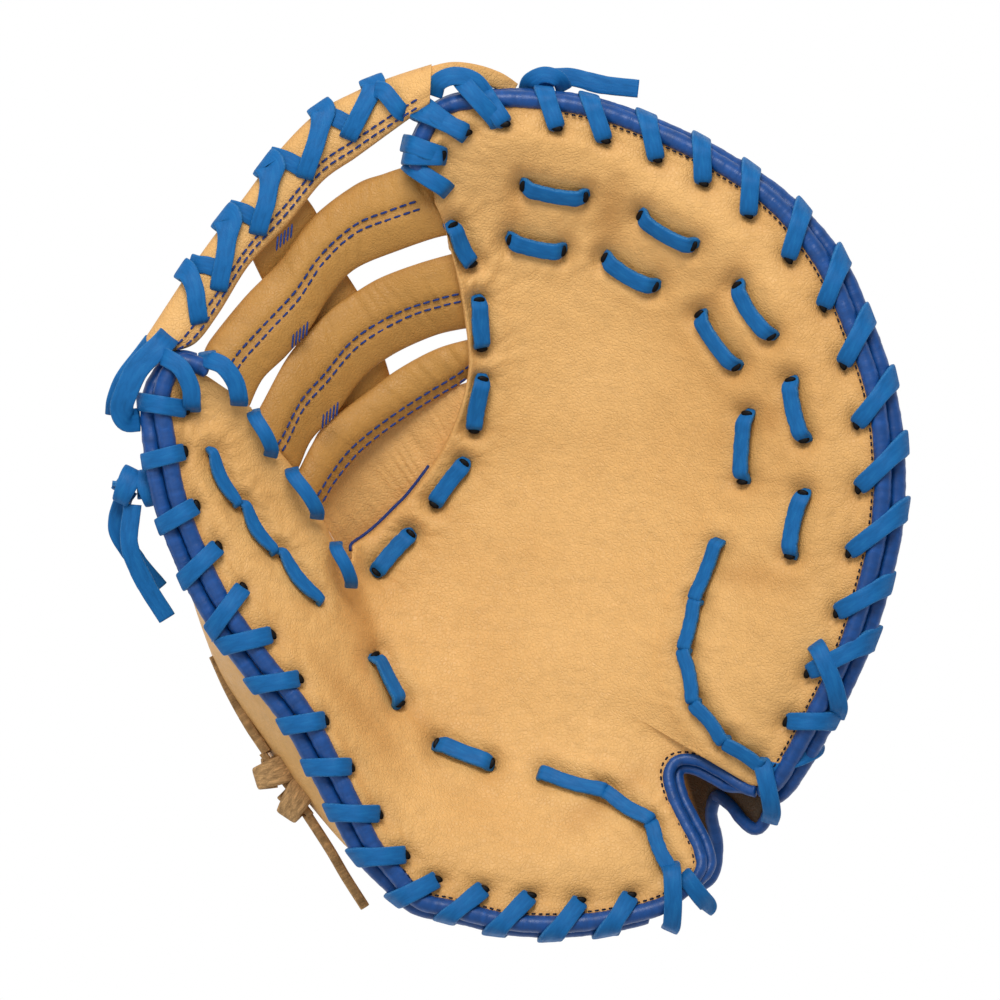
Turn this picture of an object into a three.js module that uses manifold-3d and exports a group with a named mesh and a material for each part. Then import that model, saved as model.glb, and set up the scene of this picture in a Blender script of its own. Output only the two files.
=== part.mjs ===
// First baseman mitt for the left hand, lying on its back with the palm up.
// Millimetres, +Z up out of the palm, +X to the thumbless side, +Y toward the finger tips.
import * as THREE from 'three';
import { ConvexGeometry } from 'three/addons/geometries/ConvexGeometry.js';
import { mergeVertices } from 'three/addons/utils/BufferGeometryUtils.js';
import Module from 'manifold-3d';

const wasm = await Module();
wasm.setup();

// Driving dimensions
const MITT_WIDTH = 275;
const MITT_LENGTH = 298;
const RIM_HEIGHT = 84;
const CLEARANCE = 0.35;
const SEAM_GAP = 1;
const PALM_WALL = 4;
const PAD_WALL = 9;
const PALM_EDGE = 4;
const THUMB_EDGE = 8;
const BACK_WALL = 3;
const STRAP_WALL = 3;
const WEB_WALL = 3;
const TOP_BAR_WALL = 6;
const BINDING_DIAMETER = 6;
const NOTCH_BINDING_DIAMETER = 4;
const LACE_WIDTH = 6.2;
const LACE_THICKNESS = 1.8;
const LACE_LIFT = 1.1;
const WEB_LACE_LIFT = 1.2;
const RIM_HOLE_LENGTH = 7.2;
const RIM_HOLE_WIDTH = 5;
const WEB_HOLE_WIDTH = 7;
const THONG_WIDTH = 5;
const THONG_THICKNESS = 2.6;
const RIM_LACE_DROP = 2.5;
const WEB_LACE_DROP = 2.6;
const VALLEY_DEPTH = 4;
const VALLEY_WIDTH = 0.45;
const THUMB_BULGE = 20;

// The tables give places as shares: the outline spans these shares of one table unit.
const TABLE_WIDTH = 0.809;
const TABLE_LENGTH = 0.877;
const TABLE_HEIGHT = 0.84;
const ACROSS = MITT_WIDTH / TABLE_WIDTH;
const ALONG = MITT_LENGTH / TABLE_LENGTH;
const UP = RIM_HEIGHT / TABLE_HEIGHT;

const TAN = 0xdcb277;
const ROYAL = 0x1d3f9a;
const LACE_BLUE = 0x1f66b8;
const RAW_TAN = 0x9a7448;
const UPWARD = new THREE.Vector3(0, 0, 1);

// Names the columns of a table, and turns its rows into objects.
function table(columns, rows) {
  return rows.map((row) => Object.fromEntries(columns.map((name, i) => [name, row[i]])));
}

// Palm stations round the mitt, from the web corner of the finger side over the tips, down the
// little-finger side, round the notch and the heel, and up the thumb to its tip. Rim columns are
// the middle of the front binding; inner columns are the web side of the palm. The z columns are
// heights at the web side, at three tenths, six tenths and 85 hundredths of the way out, and of
// the binding. backOut is how far the back binding peeks out past the front one, in diameters.
const PALM = table(
  ['rimX', 'rimY', 'inX', 'inY', 'zIn', 'zLow', 'zMid', 'zPad', 'zRim', 'backOut'],
  [
    [-0.074, 0.322, -0.065, 0.296, 0.74, 0.75, 0.76, 0.77, 0.77, 0.1],
    [-0.083, 0.345, -0.057, 0.278, 0.70, 0.73, 0.77, 0.80, 0.78, 0.1],
    [-0.060, 0.388, -0.050, 0.252, 0.66, 0.70, 0.77, 0.84, 0.80, 0.1],
    [-0.015, 0.399, -0.044, 0.228, 0.61, 0.65, 0.75, 0.85, 0.82, 0.1],
    [0.040, 0.398, -0.039, 0.203, 0.57, 0.61, 0.72, 0.85, 0.82, 0.15],
    [0.095, 0.389, -0.035, 0.178, 0.53, 0.57, 0.69, 0.84, 0.82, 0.2],
    [0.150, 0.369, -0.032, 0.153, 0.50, 0.53, 0.66, 0.83, 0.82, 0.25],
    [0.210, 0.340, -0.032, 0.128, 0.46, 0.50, 0.63, 0.83, 0.83, 0.3],
    [0.273, 0.296, -0.038, 0.100, 0.42, 0.47, 0.61, 0.83, 0.84, 0.45],
    [0.322, 0.236, -0.048, 0.072, 0.37, 0.44, 0.59, 0.82, 0.84, 0.7],
    [0.352, 0.168, -0.062, 0.045, 0.33, 0.41, 0.57, 0.81, 0.84, 0.75],
    [0.373, 0.105, -0.078, 0.022, 0.30, 0.38, 0.55, 0.80, 0.84, 0.75],
    [0.381, 0.040, -0.093, 0.003, 0.28, 0.36, 0.53, 0.78, 0.83, 0.8],
    [0.378, -0.025, -0.106, -0.010, 0.27, 0.35, 0.51, 0.75, 0.81, 0.85],
    [0.365, -0.085, -0.118, -0.022, 0.26, 0.34, 0.49, 0.72, 0.78, 0.85],
    [0.346, -0.147, -0.128, -0.031, 0.25, 0.33, 0.48, 0.69, 0.74, 0.8],
    [0.316, -0.210, -0.137, -0.038, 0.25, 0.32, 0.47, 0.65, 0.68, 0.8],
    [0.290, -0.260, -0.143, -0.042, 0.25, 0.32, 0.455, 0.60, 0.61, 0.7],
    [0.271, -0.287, -0.147, -0.045, 0.25, 0.32, 0.445, 0.55, 0.56, 0.6],
    [0.250, -0.290, -0.148, -0.047, 0.25, 0.315, 0.435, 0.525, 0.53, 0.1],
    [0.224, -0.274, -0.148, -0.049, 0.25, 0.31, 0.42, 0.49, 0.49, 0.1],
    [0.198, -0.261, -0.148, -0.051, 0.25, 0.305, 0.405, 0.465, 0.47, 0.1],
    [0.178, -0.261, -0.149, -0.052, 0.25, 0.30, 0.395, 0.455, 0.46, 0.1],
    [0.169, -0.275, -0.149, -0.053, 0.25, 0.30, 0.395, 0.46, 0.47, 0.1],
    [0.174, -0.300, -0.149, -0.054, 0.25, 0.305, 0.40, 0.48, 0.49, 0.1],
    [0.186, -0.325, -0.149, -0.055, 0.25, 0.31, 0.41, 0.50, 0.51, 0.1],
    [0.198, -0.349, -0.149, -0.056, 0.25, 0.315, 0.42, 0.52, 0.53, 0.1],
    [0.199, -0.372, -0.149, -0.057, 0.25, 0.32, 0.425, 0.54, 0.55, 0.1],
    [0.170, -0.402, -0.149, -0.058, 0.25, 0.33, 0.43, 0.55, 0.56, 0.2],
    [0.120, -0.417, -0.149, -0.059, 0.25, 0.33, 0.43, 0.57, 0.58, 0.3],
    [0.060, -0.424, -0.150, -0.060, 0.25, 0.34, 0.44, 0.59, 0.60, 0.3],
    [0.005, -0.421, -0.150, -0.061, 0.26, 0.35, 0.46, 0.60, 0.61, 0.3],
    [-0.045, -0.409, -0.151, -0.062, 0.28, 0.36, 0.49, 0.61, 0.62, 0.3],
    [-0.080, -0.400, -0.155, -0.060, 0.43, 0.45, 0.52, 0.63, 0.63, 0.4],
    [-0.102, -0.376, -0.158, -0.054, 0.46, 0.48, 0.55, 0.65, 0.64, 0.6],
    [-0.128, -0.343, -0.163, -0.046, 0.47, 0.51, 0.58, 0.67, 0.66, 0.8],
    [-0.158, -0.282, -0.169, -0.036, 0.49, 0.53, 0.60, 0.69, 0.68, 0.9],
    [-0.194, -0.214, -0.176, -0.023, 0.51, 0.55, 0.62, 0.70, 0.70, 0.95],
    [-0.238, -0.157, -0.185, -0.007, 0.53, 0.57, 0.64, 0.72, 0.72, 0.95],
    [-0.276, -0.103, -0.196, 0.015, 0.56, 0.59, 0.66, 0.74, 0.74, 0.95],
    [-0.302, -0.050, -0.209, 0.035, 0.59, 0.62, 0.68, 0.75, 0.75, 0.95],
    [-0.322, 0.005, -0.223, 0.052, 0.62, 0.65, 0.70, 0.76, 0.77, 0.95],
    [-0.332, 0.060, -0.234, 0.070, 0.66, 0.68, 0.72, 0.77, 0.78, 0.9],
    [-0.337, 0.105, -0.244, 0.086, 0.69, 0.71, 0.74, 0.78, 0.79, 0.6],
    [-0.320, 0.137, -0.252, 0.096, 0.72, 0.74, 0.76, 0.79, 0.79, 0.2],
    [-0.290, 0.130, -0.257, 0.100, 0.74, 0.75, 0.76, 0.78, 0.78, 0.1],
  ],
);
const FIRST_NOTCH = 19;
const LAST_NOTCH = 27;
const THUMB_START = 33;
const LAST = PALM.length - 1;
const ACROSS_KNOTS = [0, 0.3, 0.6, 0.85, 1];
const BACK_HOLLOW = 0.55;
const BACK_ROUND = 0.55;
const THUMB_BULGE_AT = 37;
const BACK_HOLE_AT = 0.09;
const HOLE_MARGIN = 4;
const HOLE_UPRIGHT = 0.8;
const RUN_STEPS = [0, 0.3, 0.7, 1];
const RUN_ARCH = 0.5;
const RUN_GAP = 0.95;
const TAIL_STEPS = 8;
const FINGER_VALLEYS = [4.2, 8.2, 12.2];
const ROUND_END = 0.5;
const FLAT_END = 0.7;
const FLAT_REACH = 0.3;
const BULGE_WIDTH = 2.4;
const BACK_SHARES = [0, 0.07, 0.2, 0.35, ROUND_END, FLAT_END, 1];
const BAND_SHARES = [0, 0.25, 0.75, 1];
const PALM_SHARES = [0, 0.15, 0.35, 0.55, 0.74, 0.85, 0.93, 1];
const FRONT_ANGLES = [100, 50];
const BACK_ANGLES = [15, -30, -75];
const BAR_ANGLES = [75, 20, -20, -75];
const JOIN_REACH = 0.2;
const JOIN_SIZE = 0.3;
const BAR_DOME = 1.5;
const FOURTH_DOME = 1.2;
const BASE_DIP = -1.2;

// Web bars, from the thumb to the fingers: both edges and the height of the top face along each.
const BAR_COLUMNS = ['highX', 'highY', 'highZ', 'lowX', 'lowY', 'lowZ'];
const TOP_BAR = table(BAR_COLUMNS, [
  [-0.366, 0.142, 0.75, -0.326, 0.148, 0.75],
  [-0.349, 0.169, 0.75, -0.303, 0.157, 0.75],
  [-0.298, 0.246, 0.74, -0.280, 0.187, 0.72],
  [-0.257, 0.300, 0.73, -0.250, 0.235, 0.71],
  [-0.221, 0.348, 0.73, -0.212, 0.275, 0.71],
  [-0.183, 0.386, 0.74, -0.177, 0.318, 0.72],
  [-0.145, 0.407, 0.76, -0.143, 0.342, 0.75],
  [-0.107, 0.422, 0.80, -0.104, 0.370, 0.81],
  [-0.070, 0.431, 0.86, -0.076, 0.408, 0.87],
]);
const SECOND_BAR = table(BAR_COLUMNS, [
  [-0.296, 0.147, 0.66, -0.250, 0.094, 0.64],
  [-0.288, 0.162, 0.65, -0.237, 0.121, 0.62],
  [-0.255, 0.203, 0.615, -0.214, 0.144, 0.58],
  [-0.221, 0.238, 0.60, -0.190, 0.172, 0.56],
  [-0.188, 0.282, 0.60, -0.170, 0.204, 0.55],
  [-0.145, 0.315, 0.615, -0.145, 0.231, 0.56],
  [-0.116, 0.326, 0.64, -0.100, 0.250, 0.585],
  [-0.094, 0.333, 0.655, -0.056, 0.264, 0.62],
]);
const THIRD_BAR = table(BAR_COLUMNS, [
  [-0.254, 0.080, 0.59, -0.216, 0.022, 0.485],
  [-0.244, 0.086, 0.585, -0.203, 0.030, 0.48],
  [-0.214, 0.141, 0.55, -0.189, 0.060, 0.465],
  [-0.190, 0.170, 0.52, -0.165, 0.086, 0.445],
  [-0.168, 0.192, 0.505, -0.137, 0.123, 0.43],
  [-0.145, 0.208, 0.50, -0.107, 0.146, 0.425],
  [-0.119, 0.223, 0.515, -0.068, 0.164, 0.435],
  [-0.081, 0.237, 0.55, -0.040, 0.171, 0.45],
  [-0.042, 0.248, 0.57, -0.028, 0.172, 0.455],
]);
const FOURTH_BAR = table(BAR_COLUMNS, [
  [-0.212, 0.018, 0.465, -0.192, -0.010, 0.43],
  [-0.203, 0.028, 0.46, -0.178, -0.003, 0.42],
  [-0.189, 0.055, 0.44, -0.165, 0.017, 0.40],
  [-0.175, 0.076, 0.42, -0.139, 0.048, 0.37],
  [-0.134, 0.108, 0.39, -0.101, 0.078, 0.345],
  [-0.101, 0.132, 0.39, -0.068, 0.099, 0.345],
  [-0.063, 0.152, 0.41, -0.036, 0.119, 0.37],
  [-0.028, 0.162, 0.445, -0.026, 0.130, 0.405],
]);
const WEB_BASE = table(BAR_COLUMNS, [
  [-0.179, -0.006, 0.39, -0.159, -0.058, 0.18],
  [-0.172, 0.000, 0.38, -0.146, -0.054, 0.18],
  [-0.158, 0.015, 0.34, -0.120, -0.034, 0.19],
  [-0.136, 0.043, 0.31, -0.092, -0.012, 0.205],
  [-0.099, 0.074, 0.30, -0.068, 0.018, 0.25],
  [-0.066, 0.095, 0.325, -0.046, 0.056, 0.295],
  [-0.028, 0.112, 0.375, -0.032, 0.082, 0.335],
]);
const WEB_POST = table(BAR_COLUMNS, [
  [-0.262, 0.275, 0.61, -0.205, 0.315, 0.61],
  [-0.245, 0.235, 0.58, -0.185, 0.290, 0.58],
  [-0.225, 0.195, 0.505, -0.165, 0.245, 0.495],
  [-0.195, 0.135, 0.44, -0.135, 0.195, 0.435],
  [-0.170, 0.085, 0.36, -0.115, 0.140, 0.355],
  [-0.150, 0.040, 0.25, -0.100, 0.085, 0.25],
  [-0.130, 0.010, 0.16, -0.090, 0.045, 0.165],
]);

// Wrist strap from the thumb side to the little-finger side: the edge toward the fingers and the
// bound edge toward the wrist, which arches round the notch.
const WRIST_STRAP = table(BAR_COLUMNS, [
  [-0.157, -0.243, 0.075, -0.151, -0.296, 0.24],
  [-0.110, -0.230, 0.045, -0.102, -0.335, 0.13],
  [-0.060, -0.220, 0.035, -0.045, -0.370, 0.05],
  [0.000, -0.208, 0.035, 0.030, -0.385, 0.035],
  [0.075, -0.202, 0.035, 0.110, -0.390, 0.05],
  [0.130, -0.217, 0.085, 0.175, -0.390, 0.11],
  [0.165, -0.238, 0.15, 0.208, -0.380, 0.16],
  [0.185, -0.249, 0.195, 0.215, -0.350, 0.19],
  [0.202, -0.258, 0.24, 0.209, -0.315, 0.24],
  [0.218, -0.266, 0.29, 0.217, -0.294, 0.28],
  [0.232, -0.273, 0.34, 0.234, -0.304, 0.33],
  [0.247, -0.280, 0.385, 0.247, -0.320, 0.38],
  [0.258, -0.285, 0.43, 0.258, -0.326, 0.42],
  [0.2785, -0.2625, 0.47, 0.270, -0.304, 0.46],
]);

// Rim lace: where each turn comes up through the palm and where it goes over the binding.
const TURN_COLUMNS = ['holeX', 'holeY', 'overX', 'overY'];
const FINGER_TURNS = table(TURN_COLUMNS, [
  [-0.034, 0.366, -0.076, 0.385],
  [0.004, 0.375, -0.027, 0.421],
  [0.056, 0.371, 0.035, 0.431],
  [0.104, 0.359, 0.086, 0.414],
  [0.156, 0.340, 0.144, 0.398],
  [0.202, 0.317, 0.200, 0.375],
  [0.247, 0.285, 0.251, 0.343],
  [0.287, 0.241, 0.305, 0.302],
  [0.322, 0.193, 0.346, 0.252],
  [0.342, 0.136, 0.375, 0.195],
  [0.355, 0.076, 0.397, 0.131],
  [0.357, 0.012, 0.406, 0.060],
  [0.348, -0.052, 0.404, -0.010],
  [0.336, -0.112, 0.394, -0.081],
  [0.308, -0.172, 0.372, -0.140],
  [0.287, -0.221, 0.339, -0.221],
]);
const THUMB_TURNS = table(TURN_COLUMNS, [
  [0.080, -0.401, 0.049, -0.439],
  [0.030, -0.396, -0.006, -0.434],
  [-0.017, -0.389, -0.058, -0.422],
  [-0.064, -0.379, -0.113, -0.403],
  [-0.095, -0.354, -0.149, -0.357],
  [-0.121, -0.313, -0.179, -0.310],
  [-0.149, -0.266, -0.204, -0.267],
  [-0.175, -0.219, -0.224, -0.226],
  [-0.201, -0.178, -0.253, -0.186],
  [-0.228, -0.134, -0.279, -0.145],
  [-0.256, -0.088, -0.287, -0.131],
  [-0.281, -0.047, -0.319, -0.085],
  [-0.303, -0.006, -0.344, -0.031],
  [-0.315, 0.048, -0.361, 0.037],
  [-0.313, 0.091, -0.372, 0.101],
]);

// Web lace: holes near the inner edge of the top bar, and where each turn crosses its outer edge.
const WEB_TURNS = table(TURN_COLUMNS, [
  [-0.293, 0.184, -0.329, 0.210],
  [-0.277, 0.214, -0.290, 0.270],
  [-0.247, 0.258, -0.247, 0.330],
  [-0.208, 0.305, -0.196, 0.389],
  [-0.164, 0.345, -0.145, 0.412],
]);

// Lace runs that lie on the palm, end to end: start, end and sideways bow, in table units.
const RUN_COLUMNS = ['startX', 'startY', 'endX', 'endY', 'bow'];
const PALM_RUNS = {
  outer_lace: table(RUN_COLUMNS, [
    [0.023, 0.313, 0.085, 0.302, 0.002],
    [0.140, 0.284, 0.193, 0.253, 0.003],
    [0.236, 0.214, 0.270, 0.163, 0.003],
    [0.289, 0.119, 0.303, 0.060, 0.002],
    [0.302, 0.007, 0.289, -0.056, 0.002],
  ]),
  inner_lace: table(RUN_COLUMNS, [
    [0.010, 0.260, 0.063, 0.249, 0.002],
    [0.105, 0.242, 0.155, 0.213, 0.003],
    [0.199, 0.185, 0.235, 0.133, 0.002],
    [0.246, 0.086, 0.242, 0.019, 0.001],
  ]),
  bay_lace: table(RUN_COLUMNS, [
    [-0.047, 0.274, -0.028, 0.236, 0.003],
    [-0.021, 0.200, -0.018, 0.152, 0.001],
    [-0.017, 0.121, -0.026, 0.070, 0.002],
    [-0.036, 0.037, -0.066, -0.004, 0.001],
    [-0.090, -0.034, -0.124, -0.072, 0.001],
  ]),
  thumb_edge_lace: table(RUN_COLUMNS, [
    [-0.125, -0.156, -0.100, -0.204, 0.001],
  ]),
  thumb_chain: table(RUN_COLUMNS, [
    [-0.287, 0.045, -0.265, 0.000, 0.004],
    [-0.254, -0.008, -0.229, -0.048, 0.004],
    [-0.217, -0.055, -0.183, -0.098, 0.004],
  ]),
  pinky_chain: table(RUN_COLUMNS, [
    [0.220, -0.043, 0.192, -0.097, -0.004],
    [0.186, -0.108, 0.183, -0.147, -0.002],
    [0.184, -0.158, 0.193, -0.198, -0.002],
    [0.199, -0.209, 0.224, -0.238, -0.003],
    [0.232, -0.247, 0.258, -0.264, -0.003],
  ]),
  heel_chain: table(RUN_COLUMNS, [
    [0.048, -0.274, 0.100, -0.289, 0.003],
    [0.109, -0.294, 0.145, -0.316, 0.003],
    [0.153, -0.330, 0.169, -0.366, 0.003],
  ]),
  heel_lace: table(RUN_COLUMNS, [
    [-0.063, -0.244, -0.009, -0.264, 0.001],
  ]),
};

// Free ends and knots, each a few chosen places along it.
const CORD_COLUMNS = ['x', 'y', 'z'];
const CORD_ROUTES = {
  top_tail: table(CORD_COLUMNS, [
    [0.030, 0.4175, 0.69],
    [0.066, 0.4225, 0.70],
    [0.102, 0.4145, 0.70],
    [0.138, 0.4105, 0.69],
  ]),
  left_long_tail: table(CORD_COLUMNS, [
    [-0.367, -0.0045, 0.648],
    [-0.370, -0.045, 0.64],
    [-0.355, -0.082, 0.60],
    [-0.333, -0.118, 0.56],
  ]),
  left_short_tail: table(CORD_COLUMNS, [
    [-0.374, 0.009, 0.594],
    [-0.383, -0.028, 0.57],
    [-0.364, -0.060, 0.53],
    [-0.341, -0.088, 0.48],
  ]),
  thong_upper_tail: table(CORD_COLUMNS, [
    [-0.2335, -0.2535, 0.413],
    [-0.252, -0.226, 0.40],
    [-0.272, -0.190, 0.38],
    [-0.287, -0.157, 0.36],
  ]),
  thong_lower_tail: table(CORD_COLUMNS, [
    [-0.194, -0.3145, 0.407],
    [-0.170, -0.352, 0.38],
    [-0.155, -0.378, 0.36],
    [-0.136, -0.408, 0.335],
  ]),
};

// One place from table shares.
function place(x, y, z) {
  return new THREE.Vector3(x * ACROSS, y * ALONG, z * UP);
}

// Smooth value between b and c at t, from four neighbours in a row.
function smooth(a, b, c, d, t) {
  return 0.5 * (2 * b + (c - a) * t + (2 * a - 5 * b + 4 * c - d) * t * t
    + (3 * b - a - 3 * c + d) * t * t * t);
}

// A table's row at any place u between its rows.
function rowAt(rows, u) {
  const last = rows.length - 1;
  const i = Math.max(0, Math.min(Math.floor(u), last - 1));
  const t = u - i;
  const near = [i - 1, i, i + 1, i + 2].map((k) => rows[Math.max(0, Math.min(k, last))]);
  const row = {};
  for (const name of Object.keys(near[1])) {
    row[name] = smooth(near[0][name], near[1][name], near[2][name], near[3][name], t);
  }
  return row;
}

// Smooth value through uneven knots.
function throughKnots(knots, values, t) {
  let i = 0;
  while (i < knots.length - 2 && t > knots[i + 1]) i += 1;
  const slope = (k) => {
    const before = Math.max(0, k - 1);
    const after = Math.min(knots.length - 1, k + 1);
    return (values[after] - values[before]) / (knots[after] - knots[before]);
  };
  const span = knots[i + 1] - knots[i];
  const s = (t - knots[i]) / span;
  const rise = s * s * (3 - 2 * s);
  return values[i] * (1 - rise) + values[i + 1] * rise
    + span * (slope(i) * s * (1 - s) * (1 - s) - slope(i + 1) * s * s * (1 - s));
}

// Middle of the front binding at station u.
function rimAt(u) {
  const row = rowAt(PALM, u);
  return place(row.rimX, row.rimY, row.zRim);
}

// Level direction straight out of the rim at station u.
function outwardAt(u) {
  const step = 0.05;
  const run = rimAt(Math.min(u + step, LAST)).sub(rimAt(Math.max(u - step, 0)));
  return new THREE.Vector3(-run.y, run.x, 0).normalize();
}

function bindingDiameterAt(u) {
  return u > FIRST_NOTCH - 0.5 && u < LAST_NOTCH + 0.5 ? NOTCH_BINDING_DIAMETER : BINDING_DIAMETER;
}

// Middle of the back binding: just clear of the front one, outward and below.
function backRimAt(u) {
  const apart = BINDING_DIAMETER + CLEARANCE;
  const out = Math.min(rowAt(PALM, u).backOut * BINDING_DIAMETER, apart * 0.95);
  const down = Math.sqrt(apart * apart - out * out);
  return rimAt(u).addScaledVector(outwardAt(u), out).add(new THREE.Vector3(0, 0, -down));
}

// Upper face of the palm: v is 0 at the web side and 1 at the binding.
function palmTop(u, v) {
  const row = rowAt(PALM, u);
  const inner = place(row.inX, row.inY, 0);
  const reach = bindingDiameterAt(u) / 2 + SEAM_GAP;
  const outer = place(row.rimX, row.rimY, 0).addScaledVector(outwardAt(u), -reach);
  const heights = [row.zIn, row.zLow, row.zMid, row.zPad, row.zRim].map((z) => z * UP);
  heights[4] += PALM_EDGE / 2;
  const point = inner.lerp(outer, v);
  point.z = throughKnots(ACROSS_KNOTS, heights, v);
  return point;
}

// Direction straight out of a surface at (u, v).
function normalOf(surface, u, v, from, to) {
  const step = 0.02;
  const alongU = surface(Math.min(u + step, to), v).sub(surface(Math.max(u - step, from), v));
  const alongV = surface(u, Math.min(v + step, 1)).sub(surface(u, Math.max(v - step, 0)));
  return alongU.cross(alongV).normalize();
}

// Thickness of the palm: thin in the pocket, padded near the rim, thick along the thumb.
function palmThickness(u, v) {
  const thumb = THREE.MathUtils.smoothstep(u, THUMB_START - 1, THUMB_START);
  const inner = THREE.MathUtils.lerp(PALM_WALL, THUMB_EDGE, thumb);
  return throughKnots(ACROSS_KNOTS, [inner, inner, PALM_WALL + 1, PAD_WALL, PALM_EDGE], v);
}

// Under face of the palm, straight below the upper one.
function palmUnder(u, v) {
  const facing = Math.abs(normalOf(palmTop, u, v, 0, LAST).z);
  const steep = v > 0.97 || v < 0.03 ? 1 : Math.max(facing, 0.8);
  return palmTop(u, v).add(new THREE.Vector3(0, 0, -palmThickness(u, v) / steep));
}

// Evenly spaced numbers from a to b.
function spaced(a, b, count) {
  return Array.from({ length: count + 1 }, (_, i) => a + ((b - a) * i) / count);
}

// A closed body between two faces given over the same grid of u and v.
function shellGeometry(upper, under, us, vs) {
  const positions = [];
  const index = [];
  const wide = vs.length;
  const layer = us.length * wide;
  for (const face of [upper, under]) {
    for (const u of us) {
      for (const v of vs) positions.push(...face(u, v).toArray());
    }
  }
  const quad = (a, b, c, d) => index.push(a, b, c, a, c, d);
  for (let i = 0; i < us.length - 1; i += 1) {
    for (let j = 0; j < wide - 1; j += 1) {
      const a = i * wide + j;
      quad(a, a + wide, a + wide + 1, a + 1);
      quad(layer + a, layer + a + 1, layer + a + wide + 1, layer + a + wide);
    }
    const near = i * wide;
    const far = near + wide - 1;
    quad(near, layer + near, layer + near + wide, near + wide);
    quad(far, far + wide, layer + far + wide, layer + far);
  }
  for (let j = 0; j < wide - 1; j += 1) {
    const end = (us.length - 1) * wide + j;
    quad(j, j + 1, layer + j + 1, layer + j);
    quad(end, layer + end, layer + end + 1, end + 1);
  }
  const geometry = new THREE.BufferGeometry();
  geometry.setAttribute('position', new THREE.Float32BufferAttribute(positions, 3));
  geometry.setIndex(index);
  return facingOut(geometry);
}

// Volume inside a closed geometry, negative when its faces point inward.
function signedVolume(geometry) {
  const p = geometry.attributes.position;
  const index = geometry.index.array;
  const [a, b, c] = [new THREE.Vector3(), new THREE.Vector3(), new THREE.Vector3()];
  let six = 0;
  for (let i = 0; i < index.length; i += 3) {
    a.fromBufferAttribute(p, index[i]);
    b.fromBufferAttribute(p, index[i + 1]);
    c.fromBufferAttribute(p, index[i + 2]);
    six += a.dot(b.cross(c));
  }
  return six / 6;
}

// Turns the faces round when they point inward.
function facingOut(geometry) {
  if (signedVolume(geometry) < 0) {
    const turned = Array.from(geometry.index.array);
    for (let i = 0; i < turned.length; i += 3) {
      [turned[i + 1], turned[i + 2]] = [turned[i + 2], turned[i + 1]];
    }
    geometry.setIndex(turned);
  }
  return geometry;
}

// Carries a section of outline points along a path of places with side and up directions.
function sweepGeometry(frames, outlineAt) {
  const positions = [];
  const index = [];
  const count = outlineAt(0).length;
  frames.forEach((frame, i) => {
    for (const [side, up] of outlineAt(i)) {
      const point = frame.at.clone().addScaledVector(frame.side, side).addScaledVector(frame.up, up);
      positions.push(...point.toArray());
    }
  });
  for (let i = 0; i < frames.length - 1; i += 1) {
    for (let k = 0; k < count; k += 1) {
      const a = i * count + k;
      const b = i * count + ((k + 1) % count);
      index.push(a, b, b + count, a, b + count, a + count);
    }
  }
  const end = (frames.length - 1) * count;
  for (let k = 1; k < count - 1; k += 1) {
    index.push(0, k + 1, k, end, end + k, end + k + 1);
  }
  const geometry = new THREE.BufferGeometry();
  geometry.setAttribute('position', new THREE.Float32BufferAttribute(positions, 3));
  geometry.setIndex(index);
  return facingOut(geometry);
}

// The place, width direction and upward direction of a lace at each of its places.
function laceFrames(places, sides) {
  return places.map((at, i) => {
    const before = places[Math.max(0, i - 1)];
    const after = places[Math.min(places.length - 1, i + 1)];
    const run = after.clone().sub(before).normalize();
    const side = sides[i].clone().addScaledVector(run, -sides[i].dot(run)).normalize();
    return { at, side, up: side.clone().cross(run).normalize() };
  });
}

// A flat lace along places: sides holds its width direction at each place.
function laceGeometry(places, sides, width, thickness) {
  const [w, t] = [width / 2, thickness / 2];
  const outline = [[-w, -t], [w, -t], [w, t], [-w, t]];
  return sweepGeometry(laceFrames(places, sides), () => outline);
}

// A flat lace that bends sharply: a straight piece between each two places, joined into one. Each
// piece reaches a little way inside the one before it.
function bentLaceGeometry(places, sides, width, thickness) {
  const corners = ({ at, side, up }, size) => (
    [[-1, -1], [1, -1], [1, 1], [-1, 1]].map(([a, b]) => (
      at.clone().addScaledVector(side, (a * size * width) / 2)
        .addScaledVector(up, (b * size * thickness) / 2))));
  const frames = laceFrames(places, sides);
  const pieces = frames.slice(1).map((frame, i) => {
    const before = frames[i];
    const points = [...corners(before, 1), ...corners(frame, 1)];
    if (i > 0) {
      const back = frames[i - 1].at.clone().sub(before.at).setLength(JOIN_REACH);
      points.push(...corners({ ...before, at: back.add(before.at) }, JOIN_SIZE));
    }
    return solidOf(new ConvexGeometry(points));
  });
  return geometryOf(pieces.reduce((body, piece) => body.add(piece)));
}

// A round roll along a list of places.
function rollGeometry(places, diameter, sides, steps) {
  const section = new THREE.Shape();
  for (let k = 0; k < sides; k += 1) {
    const angle = (2 * Math.PI * k) / sides;
    const [x, y] = [(Math.cos(angle) * diameter) / 2, (Math.sin(angle) * diameter) / 2];
    if (k === 0) section.moveTo(x, y);
    else section.lineTo(x, y);
  }
  section.closePath();
  const extrudePath = new THREE.CatmullRomCurve3(places, false, 'centripetal');
  return new THREE.ExtrudeGeometry(section, { steps, bevelEnabled: false, extrudePath });
}

// Solids for cutting and joining.
function solidOf(geometry) {
  const bare = geometry.clone();
  bare.deleteAttribute('normal');
  bare.deleteAttribute('uv');
  const merged = mergeVertices(bare, 1e-4);
  return new wasm.Manifold(new wasm.Mesh({
    numProp: 3,
    vertProperties: new Float32Array(merged.attributes.position.array),
    triVerts: new Uint32Array(merged.index.array),
  }));
}

function geometryOf(solid) {
  const mesh = solid.getMesh();
  const geometry = new THREE.BufferGeometry();
  geometry.setAttribute('position', new THREE.Float32BufferAttribute(mesh.vertProperties, 3));
  geometry.setIndex(Array.from(mesh.triVerts));
  return geometry;
}

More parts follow.
